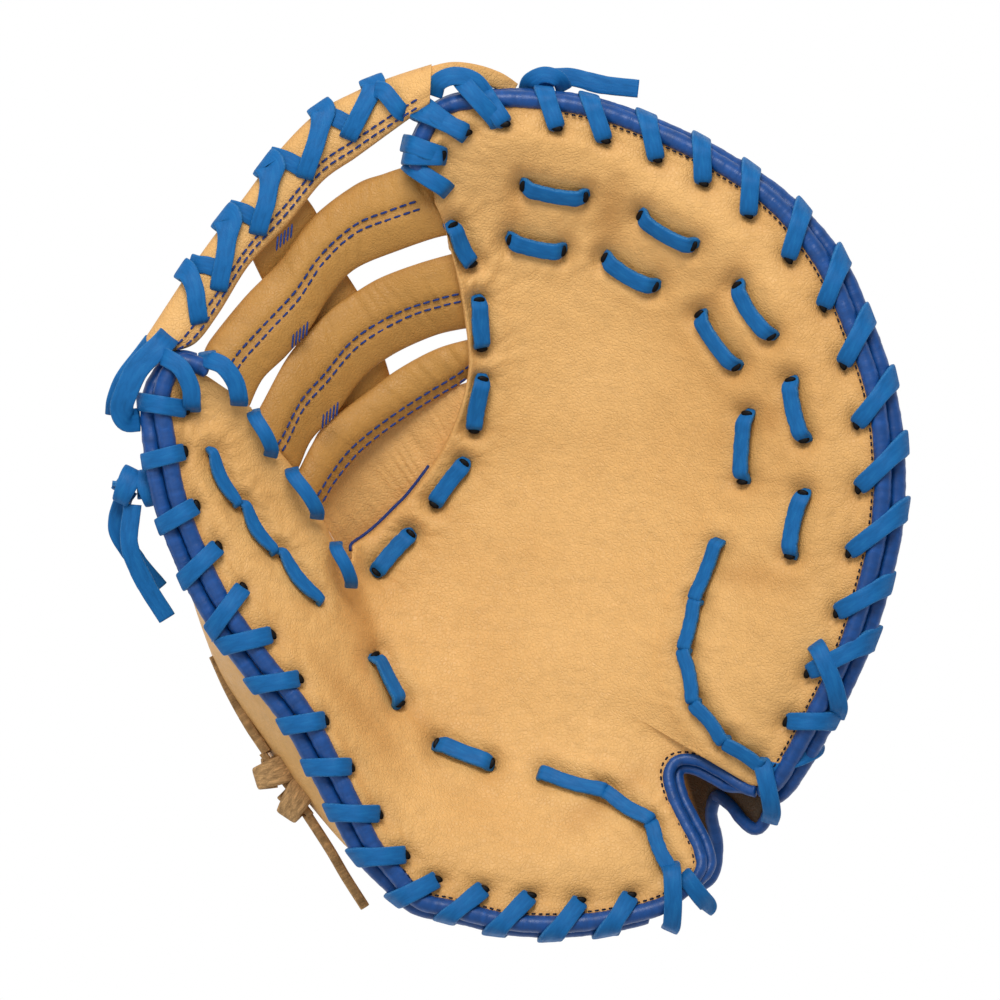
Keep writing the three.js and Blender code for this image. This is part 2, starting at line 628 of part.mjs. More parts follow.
// Outside face of a back shell: down from the binding in a round, flat where it rests, and up to
// the web side. Its valleys run between the fingers.
function backOutside(u, w, valleys) {
  const row = rowAt(PALM, u);
  const rim = backRimAt(u).addScaledVector(outwardAt(u), -BINDING_DIAMETER / 2 - SEAM_GAP);
  const inner = place(row.inX, row.inY, 0);
  const wall = palmThickness(u, 0) + WEB_WALL + BACK_WALL + 3 * CLEARANCE;
  const innerTop = Math.max(row.zIn * UP - wall, BACK_WALL);
  const groove = valleys.reduce((sum, at) => sum + Math.exp(-(((u - at) / VALLEY_WIDTH) ** 2)), 0);
  const lift = groove * VALLEY_DEPTH * Math.sin(Math.PI * Math.min(1, w * 1.1));
  let share = 0;
  let height = 0;
  if (w < ROUND_END) {
    const turn = (w / ROUND_END) * (Math.PI / 2);
    const straight = w / ROUND_END;
    const curved = 1 - Math.cos(turn);
    share = 1 - BACK_HOLLOW * THREE.MathUtils.lerp(straight, curved, BACK_ROUND);
    height = (rim.z - BACK_WALL / 2) * (1 - Math.sin(turn));
  } else if (w < FLAT_END) {
    share = THREE.MathUtils.mapLinear(w, ROUND_END, FLAT_END, 1 - BACK_HOLLOW, FLAT_REACH);
  } else {
    const turn = ((w - FLAT_END) / (1 - FLAT_END)) * (Math.PI / 2);
    share = FLAT_REACH * (1 - Math.sin(turn));
    height = innerTop * (1 - Math.cos(turn));
  }
  const bulge = THUMB_BULGE * Math.exp(-(((u - THUMB_BULGE_AT) / BULGE_WIDTH) ** 2));
  const point = inner.lerp(new THREE.Vector3(rim.x, rim.y, 0), share);
  if (w < ROUND_END) {
    point.addScaledVector(outwardAt(u), bulge * Math.sin((Math.PI * w) / ROUND_END));
  }
  point.z = Math.max(0, height + lift);
  return point;
}

// A back shell between two stations, its wall laid on the inside.
function backShell(from, to, columns, valleys) {
  const outside = (u, w) => backOutside(u, w, valleys);
  const inside = (u, w) => {
    const out = normalOf(outside, u, w, from, to);
    if (out.z < 0) out.negate();
    return outside(u, w).addScaledVector(out, BACK_WALL);
  };
  return shellGeometry(inside, outside, spaced(from, to, columns), BACK_SHARES);
}

// A web bar or strap: a band between two edges, u along it and v across, domed in the middle.
function bandTop(rows, dome) {
  return (u, v) => {
    const row = rowAt(rows, u);
    const high = place(row.highX, row.highY, row.highZ);
    const point = high.lerp(place(row.lowX, row.lowY, row.lowZ), v);
    const ends = Math.min(1, u, rows.length - 1 - u);
    point.z += dome * ends * Math.sin(Math.PI * v);
    return point;
  };
}

function bandGeometry(rows, steps, wall, dome) {
  const top = bandTop(rows, dome);
  const under = (u, v) => top(u, v).add(new THREE.Vector3(0, 0, -wall));
  return shellGeometry(top, under, spaced(0, rows.length - 1, steps), BAND_SHARES);
}

// The place on a surface nearest to table shares x and y, seen from above.
function nearestOn(surface, lastU, x, y) {
  const goal = place(x, y, 0);
  let best = { distance: Infinity };
  const search = (fromU, toU, fromV, toV, count) => {
    for (const u of spaced(Math.max(0, fromU), Math.min(lastU, toU), count)) {
      for (const v of spaced(Math.max(0, fromV), Math.min(1, toV), 20)) {
        const at = surface(u, v);
        const distance = Math.hypot(at.x - goal.x, at.y - goal.y);
        if (distance < best.distance) best = { u, v, at, distance };
      }
    }
  };
  search(0, lastU, 0, 1, 3 * lastU);
  search(best.u - 0.4, best.u + 0.4, best.v - 0.05, best.v + 0.05, 12);
  const up = normalOf(surface, best.u, best.v, 0, lastU);
  if (up.z < 0) up.negate();
  return { ...best, up };
}

// The station whose binding passes nearest to table shares x and y.
function stationNear(x, y, from, to) {
  const goal = place(x, y, 0);
  let best = { distance: Infinity };
  for (const u of spaced(from, to, 12 * (to - from))) {
    const at = rimAt(u);
    const distance = Math.hypot(at.x - goal.x, at.y - goal.y);
    if (distance < best.distance) best = { u, distance };
  }
  return best.u;
}

// One turn of whipped lace over an edge: up through the hole, round the outside of the rolls or
// the bar, and back under. Returns its places, its width direction and the hole it needs.
function turnOver(hole, thickness, drop, rounds, side) {
  const rise = LACE_THICKNESS / 2 + CLEARANCE;
  const away = rise + LACE_LIFT;
  const below = hole.at.clone().addScaledVector(hole.up, -thickness - drop * rise);
  const above = hole.at.clone().addScaledVector(hole.up, rise + 3 * CLEARANCE);
  const places = [below, above];
  for (const { middle, radius, out, angles } of rounds) {
    for (const angle of angles) {
      const turn = THREE.MathUtils.degToRad(angle);
      places.push(middle.clone()
        .addScaledVector(out, Math.cos(turn) * (radius + away))
        .addScaledVector(UPWARD, Math.sin(turn) * (radius + away)));
    }
  }
  return { places, side, holes: [{ ...hole, depth: thickness }] };
}

// The whipped lace of a stretch of rim, through the palm and, where there is one, the back shell.
function rimLace(turns, from, to, hasBack) {
  const places = [];
  const sides = [];
  const holes = [];
  turns.forEach((turn, i) => {
    const hole = nearestOn(palmTop, LAST, turn.holeX, turn.holeY);
    hole.up.lerp(UPWARD, HOLE_UPRIGHT).normalize();
    const far = stationNear(turn.overX, turn.overY, from, to);
    const near = (stationNear(turn.holeX, turn.holeY, from, to) + far) / 2;
    const side = rimAt(near + 0.1).sub(rimAt(near - 0.1)).normalize();
    const radius = BINDING_DIAMETER / 2;
    const rounds = [
      { middle: rimAt(near), radius, out: outwardAt(near), angles: FRONT_ANGLES },
      { middle: backRimAt(far), radius, out: outwardAt(far), angles: BACK_ANGLES },
    ];
    const one = turnOver(hole, palmThickness(hole.u, hole.v), RIM_LACE_DROP, rounds, side);
    const next = turns[Math.min(i + 1, turns.length - 1)];
    const back = i < turns.length - 1
      && hasBack((far + stationNear(next.overX, next.overY, from, to)) / 2);
    if (back) {
      const u = (far + stationNear(next.overX, next.overY, from, to)) / 2;
      const at = backOutside(u, BACK_HOLE_AT, []);
      const out = backNormal(u, BACK_HOLE_AT);
      const rise = LACE_THICKNESS / 2 + 2 * CLEARANCE;
      one.places.push(at.clone().addScaledVector(out, rise));
      one.places.push(at.clone().addScaledVector(out, -BACK_WALL - 2 * rise));
      holes.push({ at, up: out, side, depth: BACK_WALL, back: true });
    }
    places.push(...one.places);
    one.places.forEach(() => sides.push(side));
    holes.push(...one.holes.map((each) => ({ ...each, side })));
  });
  return { geometry: bentLaceGeometry(places, sides, LACE_WIDTH, LACE_THICKNESS), holes };
}

// The lace whipped along the web's top bar, through holes in it.
function webLace(turns, bar, wall) {
  const lastU = TOP_BAR.length - 1;
  const places = [];
  const sides = [];
  const holes = [];
  for (const turn of turns) {
    const hole = nearestOn(bar, lastU, turn.holeX, turn.holeY);
    const far = nearestOn(bar, lastU, turn.overX, turn.overY);
    const edge = bar(far.u, 0);
    const side = bar(far.u + 0.1, 0).sub(bar(far.u - 0.1, 0)).normalize();
    const out = new THREE.Vector3(-side.y, side.x, 0).normalize();
    const middle = edge.clone().addScaledVector(UPWARD, -wall / 2);
    const rounds = [{ middle, radius: wall / 2 + WEB_LACE_LIFT, out, angles: BAR_ANGLES }];
    const one = turnOver(hole, wall + CLEARANCE, WEB_LACE_DROP, rounds, side);
    places.push(...one.places);
    one.places.forEach(() => sides.push(side));
    holes.push({ ...hole, depth: wall, side, width: WEB_HOLE_WIDTH });
  }
  return { geometry: bentLaceGeometry(places, sides, LACE_WIDTH, LACE_THICKNESS), holes };
}

// Outward direction of a back shell near its rim.
function backNormal(u, w) {
  const surface = (a, b) => backOutside(a, b, []);
  const out = normalOf(surface, u, w, 0, LAST);
  return out.dot(outwardAt(u)) < 0 ? out.negate() : out;
}

// A slot for the lace, its long side along the rim.
function slotSolid({ at, up, side, depth, width = RIM_HOLE_WIDTH }) {
  const across = side.clone().addScaledVector(up, -side.dot(up)).normalize();
  const along = up.clone().cross(across);
  const slot = new THREE.BoxGeometry(RIM_HOLE_LENGTH, width, 2 * depth + 2 * HOLE_MARGIN);
  const turned = new THREE.Matrix4().makeBasis(across, along, up);
  slot.applyMatrix4(turned.setPosition(at));
  return solidOf(slot);
}

function withSlots(geometry, holes) {
  return geometryOf(holes.reduce((body, hole) => body.subtract(slotSolid(hole)),
    solidOf(geometry)));
}

// A surface as its flat facets give it, between the grid lines us and vs.
function facets(surface, us, vs) {
  const points = us.map((u) => vs.map((v) => surface(u, v)));
  const cell = (list, at) => {
    let i = 0;
    while (i < list.length - 2 && at > list[i + 1]) i += 1;
    return [i, (at - list[i]) / (list[i + 1] - list[i])];
  };
  return (u, v) => {
    const [i, s] = cell(us, u);
    const [j, t] = cell(vs, v);
    const near = points[i][j].clone().lerp(points[i + 1][j], s);
    return near.lerp(points[i][j + 1].clone().lerp(points[i + 1][j + 1], s), t);
  };
}

// A short run of lace lying on the palm, its ends tucked down to the leather.
function runGeometry(run, ground) {
  const start = place(run.startX, run.startY, 0);
  const end = place(run.endX, run.endY, 0);
  const places = [];
  const sides = [];
  for (const t of RUN_STEPS) {
    const x = THREE.MathUtils.lerp(run.startX, run.endX, t);
    const y = THREE.MathUtils.lerp(run.startY, run.endY, t);
    const bow = run.bow * Math.sin(Math.PI * t);
    const lean = new THREE.Vector3(end.y - start.y, start.x - end.x, 0).normalize();
    const spot = nearestOn(ground, LAST, x + lean.x * bow, y + lean.y * bow);
    const lift = RUN_ARCH * Math.sin(Math.PI * t) + LACE_THICKNESS / 2 + RUN_GAP;
    places.push(spot.at.clone().addScaledVector(spot.up, lift));
    sides.push(spot.up.clone().cross(end.clone().sub(start)).normalize());
  }
  return laceGeometry(places, sides, LACE_WIDTH * 0.95, LACE_THICKNESS);
}

// A free lace end along its chosen places: an oblong section with its corners cut.
function tailGeometry(rows, first, second) {
  const cut = Math.min(first, second) / 4;
  const [x, y] = [first / 2, second / 2];
  const section = new THREE.Shape();
  section.moveTo(x, y - cut);
  section.lineTo(x - cut, y);
  section.lineTo(cut - x, y);
  section.lineTo(-x, y - cut);
  section.lineTo(-x, cut - y);
  section.lineTo(cut - x, -y);
  section.lineTo(x - cut, -y);
  section.lineTo(x, cut - y);
  section.closePath();
  const extrudePath = new THREE.CatmullRomCurve3(rows.map((row) => place(row.x, row.y, row.z)));
  return new THREE.ExtrudeGeometry(section,
    { steps: TAIL_STEPS, bevelEnabled: false, extrudePath });
}

// A pulled-tight knot: a flattened round body with its long way along run.
function knotGeometry({ x, y, z }, run, long, wide, high) {
  const knot = new THREE.SphereGeometry(0.5, 8, 6);
  const along = run.clone().normalize();
  const across = UPWARD.clone().cross(along).normalize();
  const basis = new THREE.Matrix4().makeBasis(
    along.multiplyScalar(long), across.multiplyScalar(wide), UPWARD.clone().multiplyScalar(high));
  knot.applyMatrix4(basis.setPosition(place(x, y, z)));
  return knot;
}

// Nodes
const mitt = new THREE.Group();

function leather(color, roughness) {
  return new THREE.MeshStandardMaterial({ color, roughness, metalness: 0 });
}

function addNode(name, geometry, color, roughness) {
  const mesh = new THREE.Mesh(geometry, leather(color, roughness));
  mesh.name = name;
  mitt.add(mesh);
}

// Bindings: rolls along the stations.
function bindingPlaces(at, from, to) {
  return spaced(from, to, (to - from) * 2).map(at);
}

const palmStations = [
  ...spaced(0, FIRST_NOTCH - 1, 20),
  ...spaced(FIRST_NOTCH, LAST_NOTCH, 8),
  ...spaced(LAST_NOTCH + 1, LAST, 20),
];
const fingerBackEnd = FIRST_NOTCH - 1.2;
const fingerLace = rimLace(FINGER_TURNS, 0, fingerBackEnd, (u) => u > 1.5 && u < fingerBackEnd);
const thumbLace = rimLace(THUMB_TURNS, LAST_NOTCH + 1, LAST, (u) => u > 35.6 && u < LAST - 1.2);
const allHoles = [...fingerLace.holes, ...thumbLace.holes];
const palmFacets = facets(palmTop, palmStations, PALM_SHARES);
const palm = shellGeometry(palmTop, palmUnder, palmStations, PALM_SHARES);
addNode('palm_panel', withSlots(palm, allHoles.filter((hole) => !hole.back)), TAN, 0.55);
addNode('finger_back', withSlots(backShell(1.3, fingerBackEnd, 24, FINGER_VALLEYS),
  fingerLace.holes.filter((hole) => hole.back)), TAN, 0.6);
addNode('thumb_back', withSlots(backShell(35, LAST - 0.9, 16, []),
  thumbLace.holes.filter((hole) => hole.back)), TAN, 0.6);
addNode('wrist_strap', bandGeometry(WRIST_STRAP, 14, STRAP_WALL, 0), TAN, 0.6);

addNode('front_binding_fingers',
  rollGeometry(bindingPlaces(rimAt, 0, 18.4), BINDING_DIAMETER, 6, 34), ROYAL, 0.35);
addNode('back_binding_fingers',
  rollGeometry(bindingPlaces(backRimAt, 0, 18), BINDING_DIAMETER, 6, 28), ROYAL, 0.35);
addNode('front_binding_thumb',
  rollGeometry(bindingPlaces(rimAt, 28, LAST), BINDING_DIAMETER, 6, 27), ROYAL, 0.35);
addNode('back_binding_thumb',
  rollGeometry(bindingPlaces(backRimAt, 28.5, LAST - 0.5), BINDING_DIAMETER, 6, 27), ROYAL, 0.35);
addNode('notch_binding',
  rollGeometry(bindingPlaces(rimAt, 19.2, 27.2), NOTCH_BINDING_DIAMETER, 6, 18), ROYAL, 0.35);
const strapEdge = WRIST_STRAP.map((row) => place(row.lowX, row.lowY, row.lowZ)
  .add(new THREE.Vector3(0, 0, -STRAP_WALL / 2)));
addNode('wrist_binding', rollGeometry(strapEdge.map((at, i) => {
  const run = strapEdge[Math.min(i + 1, strapEdge.length - 1)].clone()
    .sub(strapEdge[Math.max(i - 1, 0)]);
  const away = new THREE.Vector3(run.y, -run.x, 0).normalize();
  return at.clone().addScaledVector(away, NOTCH_BINDING_DIAMETER / 2 + 2 * SEAM_GAP);
}), NOTCH_BINDING_DIAMETER, 6, 22), ROYAL, 0.35);

const topBar = bandTop(TOP_BAR, 0.2);
const topLace = webLace(WEB_TURNS, topBar, TOP_BAR_WALL);
addNode('web_top_bar',
  withSlots(bandGeometry(TOP_BAR, 12, TOP_BAR_WALL, 0.2), topLace.holes), TAN, 0.55);
addNode('web_second_bar', bandGeometry(SECOND_BAR, 10, WEB_WALL, BAR_DOME), TAN, 0.55);
addNode('web_third_bar', bandGeometry(THIRD_BAR, 10, WEB_WALL, BAR_DOME), TAN, 0.55);
addNode('web_fourth_bar', bandGeometry(FOURTH_BAR, 10, WEB_WALL, FOURTH_DOME), TAN, 0.55);
addNode('web_base', bandGeometry(WEB_BASE, 10, WEB_WALL, BASE_DIP), TAN, 0.6);
addNode('web_post', bandGeometry(WEB_POST, 10, WEB_WALL, 0), TAN, 0.6);

addNode('rim_lace_fingers', fingerLace.geometry, LACE_BLUE, 0.6);
addNode('rim_lace_thumb', thumbLace.geometry, LACE_BLUE, 0.6);
addNode('web_lace', topLace.geometry, LACE_BLUE, 0.6);
for (const [name, runs] of Object.entries(PALM_RUNS)) {
  runs.forEach((run, i) => {
    addNode(`${name}_${i + 1}`, runGeometry(run, palmFacets), LACE_BLUE, 0.6);
  });
}

addNode('top_tail', tailGeometry(CORD_ROUTES.top_tail, LACE_THICKNESS, LACE_WIDTH),
  LACE_BLUE, 0.6);
addNode('left_long_tail', tailGeometry(CORD_ROUTES.left_long_tail, LACE_WIDTH, LACE_THICKNESS),
  LACE_BLUE, 0.6);
addNode('left_short_tail', tailGeometry(CORD_ROUTES.left_short_tail, LACE_WIDTH, LACE_THICKNESS),
  LACE_BLUE, 0.6);
addNode('thong_upper_tail',
  tailGeometry(CORD_ROUTES.thong_upper_tail, THONG_WIDTH, THONG_THICKNESS), RAW_TAN, 0.8);
addNode('thong_lower_tail',
  tailGeometry(CORD_ROUTES.thong_lower_tail, THONG_WIDTH, THONG_THICKNESS), RAW_TAN, 0.8);

addNode('left_knot', knotGeometry({ x: -0.3622, y: 0.014, z: 0.66 },
  new THREE.Vector3(1, -0.1, 0), 20, 12, 9), LACE_BLUE, 0.6);
addNode('thong_knot', knotGeometry({ x: -0.214, y: -0.285, z: 0.41 },
  new THREE.Vector3(1, -1.3, 0), 24, 14, 12), RAW_TAN, 0.8);

// The origin is under the middle of the mitt, measured without its free lace ends.
const FREE_ENDS = [...Object.keys(CORD_ROUTES), 'left_knot', 'thong_knot'];
const extent = new THREE.Box3();
for (const mesh of mitt.children) {
  if (!FREE_ENDS.includes(mesh.name)) extent.expandByObject(mesh, true);
}
const middle = extent.getCenter(new THREE.Vector3());
mitt.position.set(-middle.x, -middle.y, -extent.min.z);
const model = new THREE.Group();
model.add(mitt);

export default model;
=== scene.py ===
"""Dresses a left-hand first baseman mitt: tan leather, royal blue bindings, rawhide lacing."""

import math

import bpy
import numpy as np
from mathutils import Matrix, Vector


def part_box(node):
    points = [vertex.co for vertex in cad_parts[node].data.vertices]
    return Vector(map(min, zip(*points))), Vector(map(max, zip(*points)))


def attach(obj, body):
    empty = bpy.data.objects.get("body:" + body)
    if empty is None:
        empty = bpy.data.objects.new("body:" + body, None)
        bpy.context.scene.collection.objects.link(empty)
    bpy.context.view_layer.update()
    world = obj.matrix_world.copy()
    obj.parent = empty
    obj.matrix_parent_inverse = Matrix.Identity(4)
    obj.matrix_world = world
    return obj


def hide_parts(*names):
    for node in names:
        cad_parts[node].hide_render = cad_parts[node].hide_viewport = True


bl_info = {
    "name": "First baseman mitt",
    "version": (1, 0, 0),
    "blender": (4, 5, 0),
    "location": "View3D > Sidebar > Mitt",
    "description": "Builds the leather, bindings, lacing and stitching of a first baseman mitt",
    "category": "Add Mesh",
}

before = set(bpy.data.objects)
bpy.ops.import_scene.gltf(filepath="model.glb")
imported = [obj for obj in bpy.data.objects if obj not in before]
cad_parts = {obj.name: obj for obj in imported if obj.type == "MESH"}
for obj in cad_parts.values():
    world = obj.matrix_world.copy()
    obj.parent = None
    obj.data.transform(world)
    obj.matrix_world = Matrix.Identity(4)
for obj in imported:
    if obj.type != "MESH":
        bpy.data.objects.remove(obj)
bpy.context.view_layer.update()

# One table unit across, along and up, in metres.
ACROSS = 0.275 / 0.809
ALONG = 0.298 / 0.877
UP = 0.084 / 0.84
POST_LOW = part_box("web_post")[0]
SHIFT_X = POST_LOW.x + 0.262 * ACROSS
SHIFT_Y = POST_LOW.y - 0.010 * ALONG
Z_AXIS = np.array([0.0, 0.0, 1.0])

# Sizes the mitt was built to, in metres, and stations of the palm where its parts begin.
PALM_WALL = 0.004
PAD_WALL = 0.009
PALM_EDGE = 0.004
THUMB_EDGE = 0.008
BACK_WALL = 0.003
WEB_WALL = 0.003
VALLEY_DEPTH = 0.004
THUMB_BULGE = 0.020
FIRST_NOTCH = 19
LAST_NOTCH = 27
THUMB_START = 33
ACROSS_KNOTS = np.array([0, 0.3, 0.6, 0.85, 1])
FINGER_VALLEYS = (4.2, 8.2, 12.2)
ROLL_GAP = 0.0002
PEEK = 0.006
STRAP_SIDES = 18
THONG_SECTION = (0.005, 0.0034)

# Stitches: length, gap and half the thickness of the thread.
EDGE_STITCH = (0.0015, 0.0009, 0.00034)
STRAP_STITCH = (0.0028, 0.0009, 0.00038)
VALLEY_STITCH = (0.0028, 0.0009, 0.00040)
TACK_STITCH = (0.0050, 0.0, 0.00035)
WEB_STITCH_GAP = 0.0008
WEB_STITCH_RADIUS = 0.00040
SEAM_APART = 0.0014
TACK_APART = 0.0016

# Rim lace: how deep its root is sunk, where it meets the rolls in degrees from level, and its
# stops on the back shell: the place from the rim and how far it lies off the leather.
LACE_ROOT = 0.0042
FRONT_ANGLES = (112, 78)
OVER_ANGLE = 50
BEHIND_ANGLES = (20, -22, -62)
FREE_ANGLE = -105
BACK_STOPS = ((0.055, 0.0014), (0.085, 0.0010), (0.10, -0.002), (0.11, -0.006))
RIM_SLANT = 0.68
BAR_SLANT = 0.56

# Palm laces: height over the leather, how far the ends dip, and from what share of half a run.
CHAIN_RISE = (0.0012, 0.0024, 0.90)
RUN_RISE = (0.0013, 0.0046, 0.66)
CHAIN_SHARE = 0.86

# Relief of the palm: height and width of each form, and how far a lip lies from its middle.
DIMPLE = (0.0024, 0.0030)
DIMPLE_SKIRT = (0.0013, 0.0085)
RAYS = 11
RAY_HEIGHT = 0.00030
GROOVE = (0.0014, 0.0038)
GROOVE_LIP = (0.0007, 0.0030)
GROOVE_LIP_PLACE = 0.0072
CREASE_LIP_PLACE = 1.9

# Back shell from the rim, 0, to the web side, 1: where its round and its flat end, and what
# share of the way to the web side is left there.
ROUND_END = 0.5
FLAT_END = 0.7
ROUND_SHARE = 0.45
FLAT_SHARE = 0.3
VALLEY_WIDTH = 0.45
BULGE_STATION = 37
BULGE_WIDTH = 2.4

# Camera and floor, in metres apart from the sensor's millimetres.
SENSOR = 36
FOCUS_HEIGHT = 0.055
FLOOR_REACH = 6.0

# Palm stations: rim x and y, web side x and y, and five heights from the web side to the binding,
# then how far the back binding peeks out, in diameters.
PALM = np.array([
    (-0.074, 0.322, -0.065, 0.296, 0.74, 0.75, 0.76, 0.77, 0.77, 0.1),
    (-0.083, 0.345, -0.057, 0.278, 0.70, 0.73, 0.77, 0.80, 0.78, 0.1),
    (-0.060, 0.388, -0.050, 0.252, 0.66, 0.70, 0.77, 0.84, 0.80, 0.1),
    (-0.015, 0.399, -0.044, 0.228, 0.61, 0.65, 0.75, 0.85, 0.82, 0.1),
    (0.040, 0.398, -0.039, 0.203, 0.57, 0.61, 0.72, 0.85, 0.82, 0.15),
    (0.095, 0.389, -0.035, 0.178, 0.53, 0.57, 0.69, 0.84, 0.82, 0.2),
    (0.150, 0.369, -0.032, 0.153, 0.50, 0.53, 0.66, 0.83, 0.82, 0.25),
    (0.210, 0.340, -0.032, 0.128, 0.46, 0.50, 0.63, 0.83, 0.83, 0.3),
    (0.273, 0.296, -0.038, 0.100, 0.42, 0.47, 0.61, 0.83, 0.84, 0.45),
    (0.322, 0.236, -0.048, 0.072, 0.37, 0.44, 0.59, 0.82, 0.84, 0.7),
    (0.352, 0.168, -0.062, 0.045, 0.33, 0.41, 0.57, 0.81, 0.84, 0.75),
    (0.373, 0.105, -0.078, 0.022, 0.30, 0.38, 0.55, 0.80, 0.84, 0.75),
    (0.381, 0.040, -0.093, 0.003, 0.28, 0.36, 0.53, 0.78, 0.83, 0.8),
    (0.378, -0.025, -0.106, -0.010, 0.27, 0.35, 0.51, 0.75, 0.81, 0.85),
    (0.365, -0.085, -0.118, -0.022, 0.26, 0.34, 0.49, 0.72, 0.78, 0.85),
    (0.346, -0.147, -0.128, -0.031, 0.25, 0.33, 0.48, 0.69, 0.74, 0.8),
    (0.316, -0.210, -0.137, -0.038, 0.25, 0.32, 0.47, 0.65, 0.68, 0.8),
    (0.290, -0.260, -0.143, -0.042, 0.25, 0.32, 0.455, 0.60, 0.61, 0.7),
    (0.271, -0.287, -0.147, -0.045, 0.25, 0.32, 0.445, 0.55, 0.56, 0.6),
    (0.250, -0.290, -0.148, -0.047, 0.25, 0.315, 0.435, 0.525, 0.53, 0.1),
    (0.224, -0.274, -0.148, -0.049, 0.25, 0.31, 0.42, 0.49, 0.49, 0.1),
    (0.198, -0.261, -0.148, -0.051, 0.25, 0.305, 0.405, 0.465, 0.47, 0.1),
    (0.178, -0.261, -0.149, -0.052, 0.25, 0.30, 0.395, 0.455, 0.46, 0.1),
    (0.169, -0.275, -0.149, -0.053, 0.25, 0.30, 0.395, 0.46, 0.47, 0.1),
    (0.174, -0.300, -0.149, -0.054, 0.25, 0.305, 0.40, 0.48, 0.49, 0.1),
    (0.186, -0.325, -0.149, -0.055, 0.25, 0.31, 0.41, 0.50, 0.51, 0.1),
    (0.198, -0.349, -0.149, -0.056, 0.25, 0.315, 0.42, 0.52, 0.53, 0.1),
    (0.199, -0.372, -0.149, -0.057, 0.25, 0.32, 0.425, 0.54, 0.55, 0.1),
    (0.170, -0.402, -0.149, -0.058, 0.25, 0.33, 0.43, 0.55, 0.56, 0.2),
    (0.120, -0.417, -0.149, -0.059, 0.25, 0.33, 0.43, 0.57, 0.58, 0.3),
    (0.060, -0.424, -0.150, -0.060, 0.25, 0.34, 0.44, 0.59, 0.60, 0.3),
    (0.005, -0.421, -0.150, -0.061, 0.26, 0.35, 0.46, 0.60, 0.61, 0.3),
    (-0.045, -0.409, -0.151, -0.062, 0.28, 0.36, 0.49, 0.61, 0.62, 0.3),
    (-0.080, -0.400, -0.155, -0.060, 0.43, 0.45, 0.52, 0.63, 0.63, 0.4),
    (-0.102, -0.376, -0.158, -0.054, 0.46, 0.48, 0.55, 0.65, 0.64, 0.6),
    (-0.128, -0.343, -0.163, -0.046, 0.47, 0.51, 0.58, 0.67, 0.66, 0.8),
    (-0.158, -0.282, -0.169, -0.036, 0.49, 0.53, 0.60, 0.69, 0.68, 0.9),
    (-0.194, -0.214, -0.176, -0.023, 0.51, 0.55, 0.62, 0.70, 0.70, 0.95),
    (-0.238, -0.157, -0.185, -0.007, 0.53, 0.57, 0.64, 0.72, 0.72, 0.95),
    (-0.276, -0.103, -0.196, 0.015, 0.56, 0.59, 0.66, 0.74, 0.74, 0.95),
    (-0.302, -0.050, -0.209, 0.035, 0.59, 0.62, 0.68, 0.75, 0.75, 0.95),
    (-0.322, 0.005, -0.223, 0.052, 0.62, 0.65, 0.70, 0.76, 0.77, 0.95),
    (-0.332, 0.060, -0.234, 0.070, 0.66, 0.68, 0.72, 0.77, 0.78, 0.9),
    (-0.337, 0.105, -0.244, 0.086, 0.69, 0.71, 0.74, 0.78, 0.79, 0.6),
    (-0.320, 0.137, -0.252, 0.096, 0.72, 0.74, 0.76, 0.79, 0.79, 0.2),
    (-0.290, 0.130, -0.257, 0.100, 0.74, 0.75, 0.76, 0.78, 0.78, 0.1),
])
LAST = len(PALM) - 1

# Web bars: both edges and the height of the top face along each, from the thumb to the fingers.
TOP_BAR = np.array([
    (-0.366, 0.142, 0.75, -0.326, 0.148, 0.75),
    (-0.349, 0.169, 0.75, -0.303, 0.157, 0.75),
    (-0.298, 0.246, 0.74, -0.280, 0.187, 0.72),
    (-0.257, 0.300, 0.73, -0.250, 0.235, 0.71),
    (-0.221, 0.348, 0.73, -0.212, 0.275, 0.71),
    (-0.183, 0.386, 0.74, -0.177, 0.318, 0.72),
    (-0.145, 0.407, 0.76, -0.143, 0.342, 0.75),
    (-0.107, 0.422, 0.80, -0.104, 0.370, 0.81),
    (-0.068, 0.434, 0.86, -0.070, 0.394, 0.86),
])
TOP_BAR_END = np.array([
    (-0.078, 0.429, 0.846, -0.077, 0.410, 0.850),
    (-0.050, 0.436, 0.845, -0.052, 0.417, 0.840),
    (-0.024, 0.434, 0.820, -0.028, 0.416, 0.815),
    (0.001, 0.426, 0.785, -0.005, 0.410, 0.780),
    (0.018, 0.415, 0.750, 0.010, 0.401, 0.745),
])
SECOND_BAR = np.array([
    (-0.296, 0.147, 0.66, -0.250, 0.094, 0.64),
    (-0.288, 0.162, 0.65, -0.237, 0.121, 0.62),
    (-0.255, 0.203, 0.615, -0.214, 0.144, 0.58),
    (-0.221, 0.238, 0.60, -0.190, 0.172, 0.56),
    (-0.188, 0.282, 0.60, -0.170, 0.204, 0.55),
    (-0.145, 0.315, 0.615, -0.145, 0.231, 0.56),
    (-0.116, 0.326, 0.64, -0.100, 0.250, 0.585),
    (-0.094, 0.333, 0.655, -0.056, 0.264, 0.62),
    (-0.070, 0.338, 0.650, -0.036, 0.262, 0.61),
])
THIRD_BAR = np.array([
    (-0.254, 0.080, 0.59, -0.216, 0.022, 0.485),
    (-0.244, 0.086, 0.585, -0.203, 0.030, 0.48),
    (-0.214, 0.141, 0.55, -0.189, 0.060, 0.465),
    (-0.190, 0.170, 0.52, -0.165, 0.086, 0.445),
    (-0.168, 0.192, 0.505, -0.137, 0.123, 0.43),
    (-0.145, 0.208, 0.50, -0.107, 0.146, 0.425),
    (-0.119, 0.223, 0.515, -0.068, 0.164, 0.435),
    (-0.081, 0.237, 0.55, -0.040, 0.171, 0.45),
    (-0.042, 0.248, 0.57, -0.028, 0.172, 0.455),
])
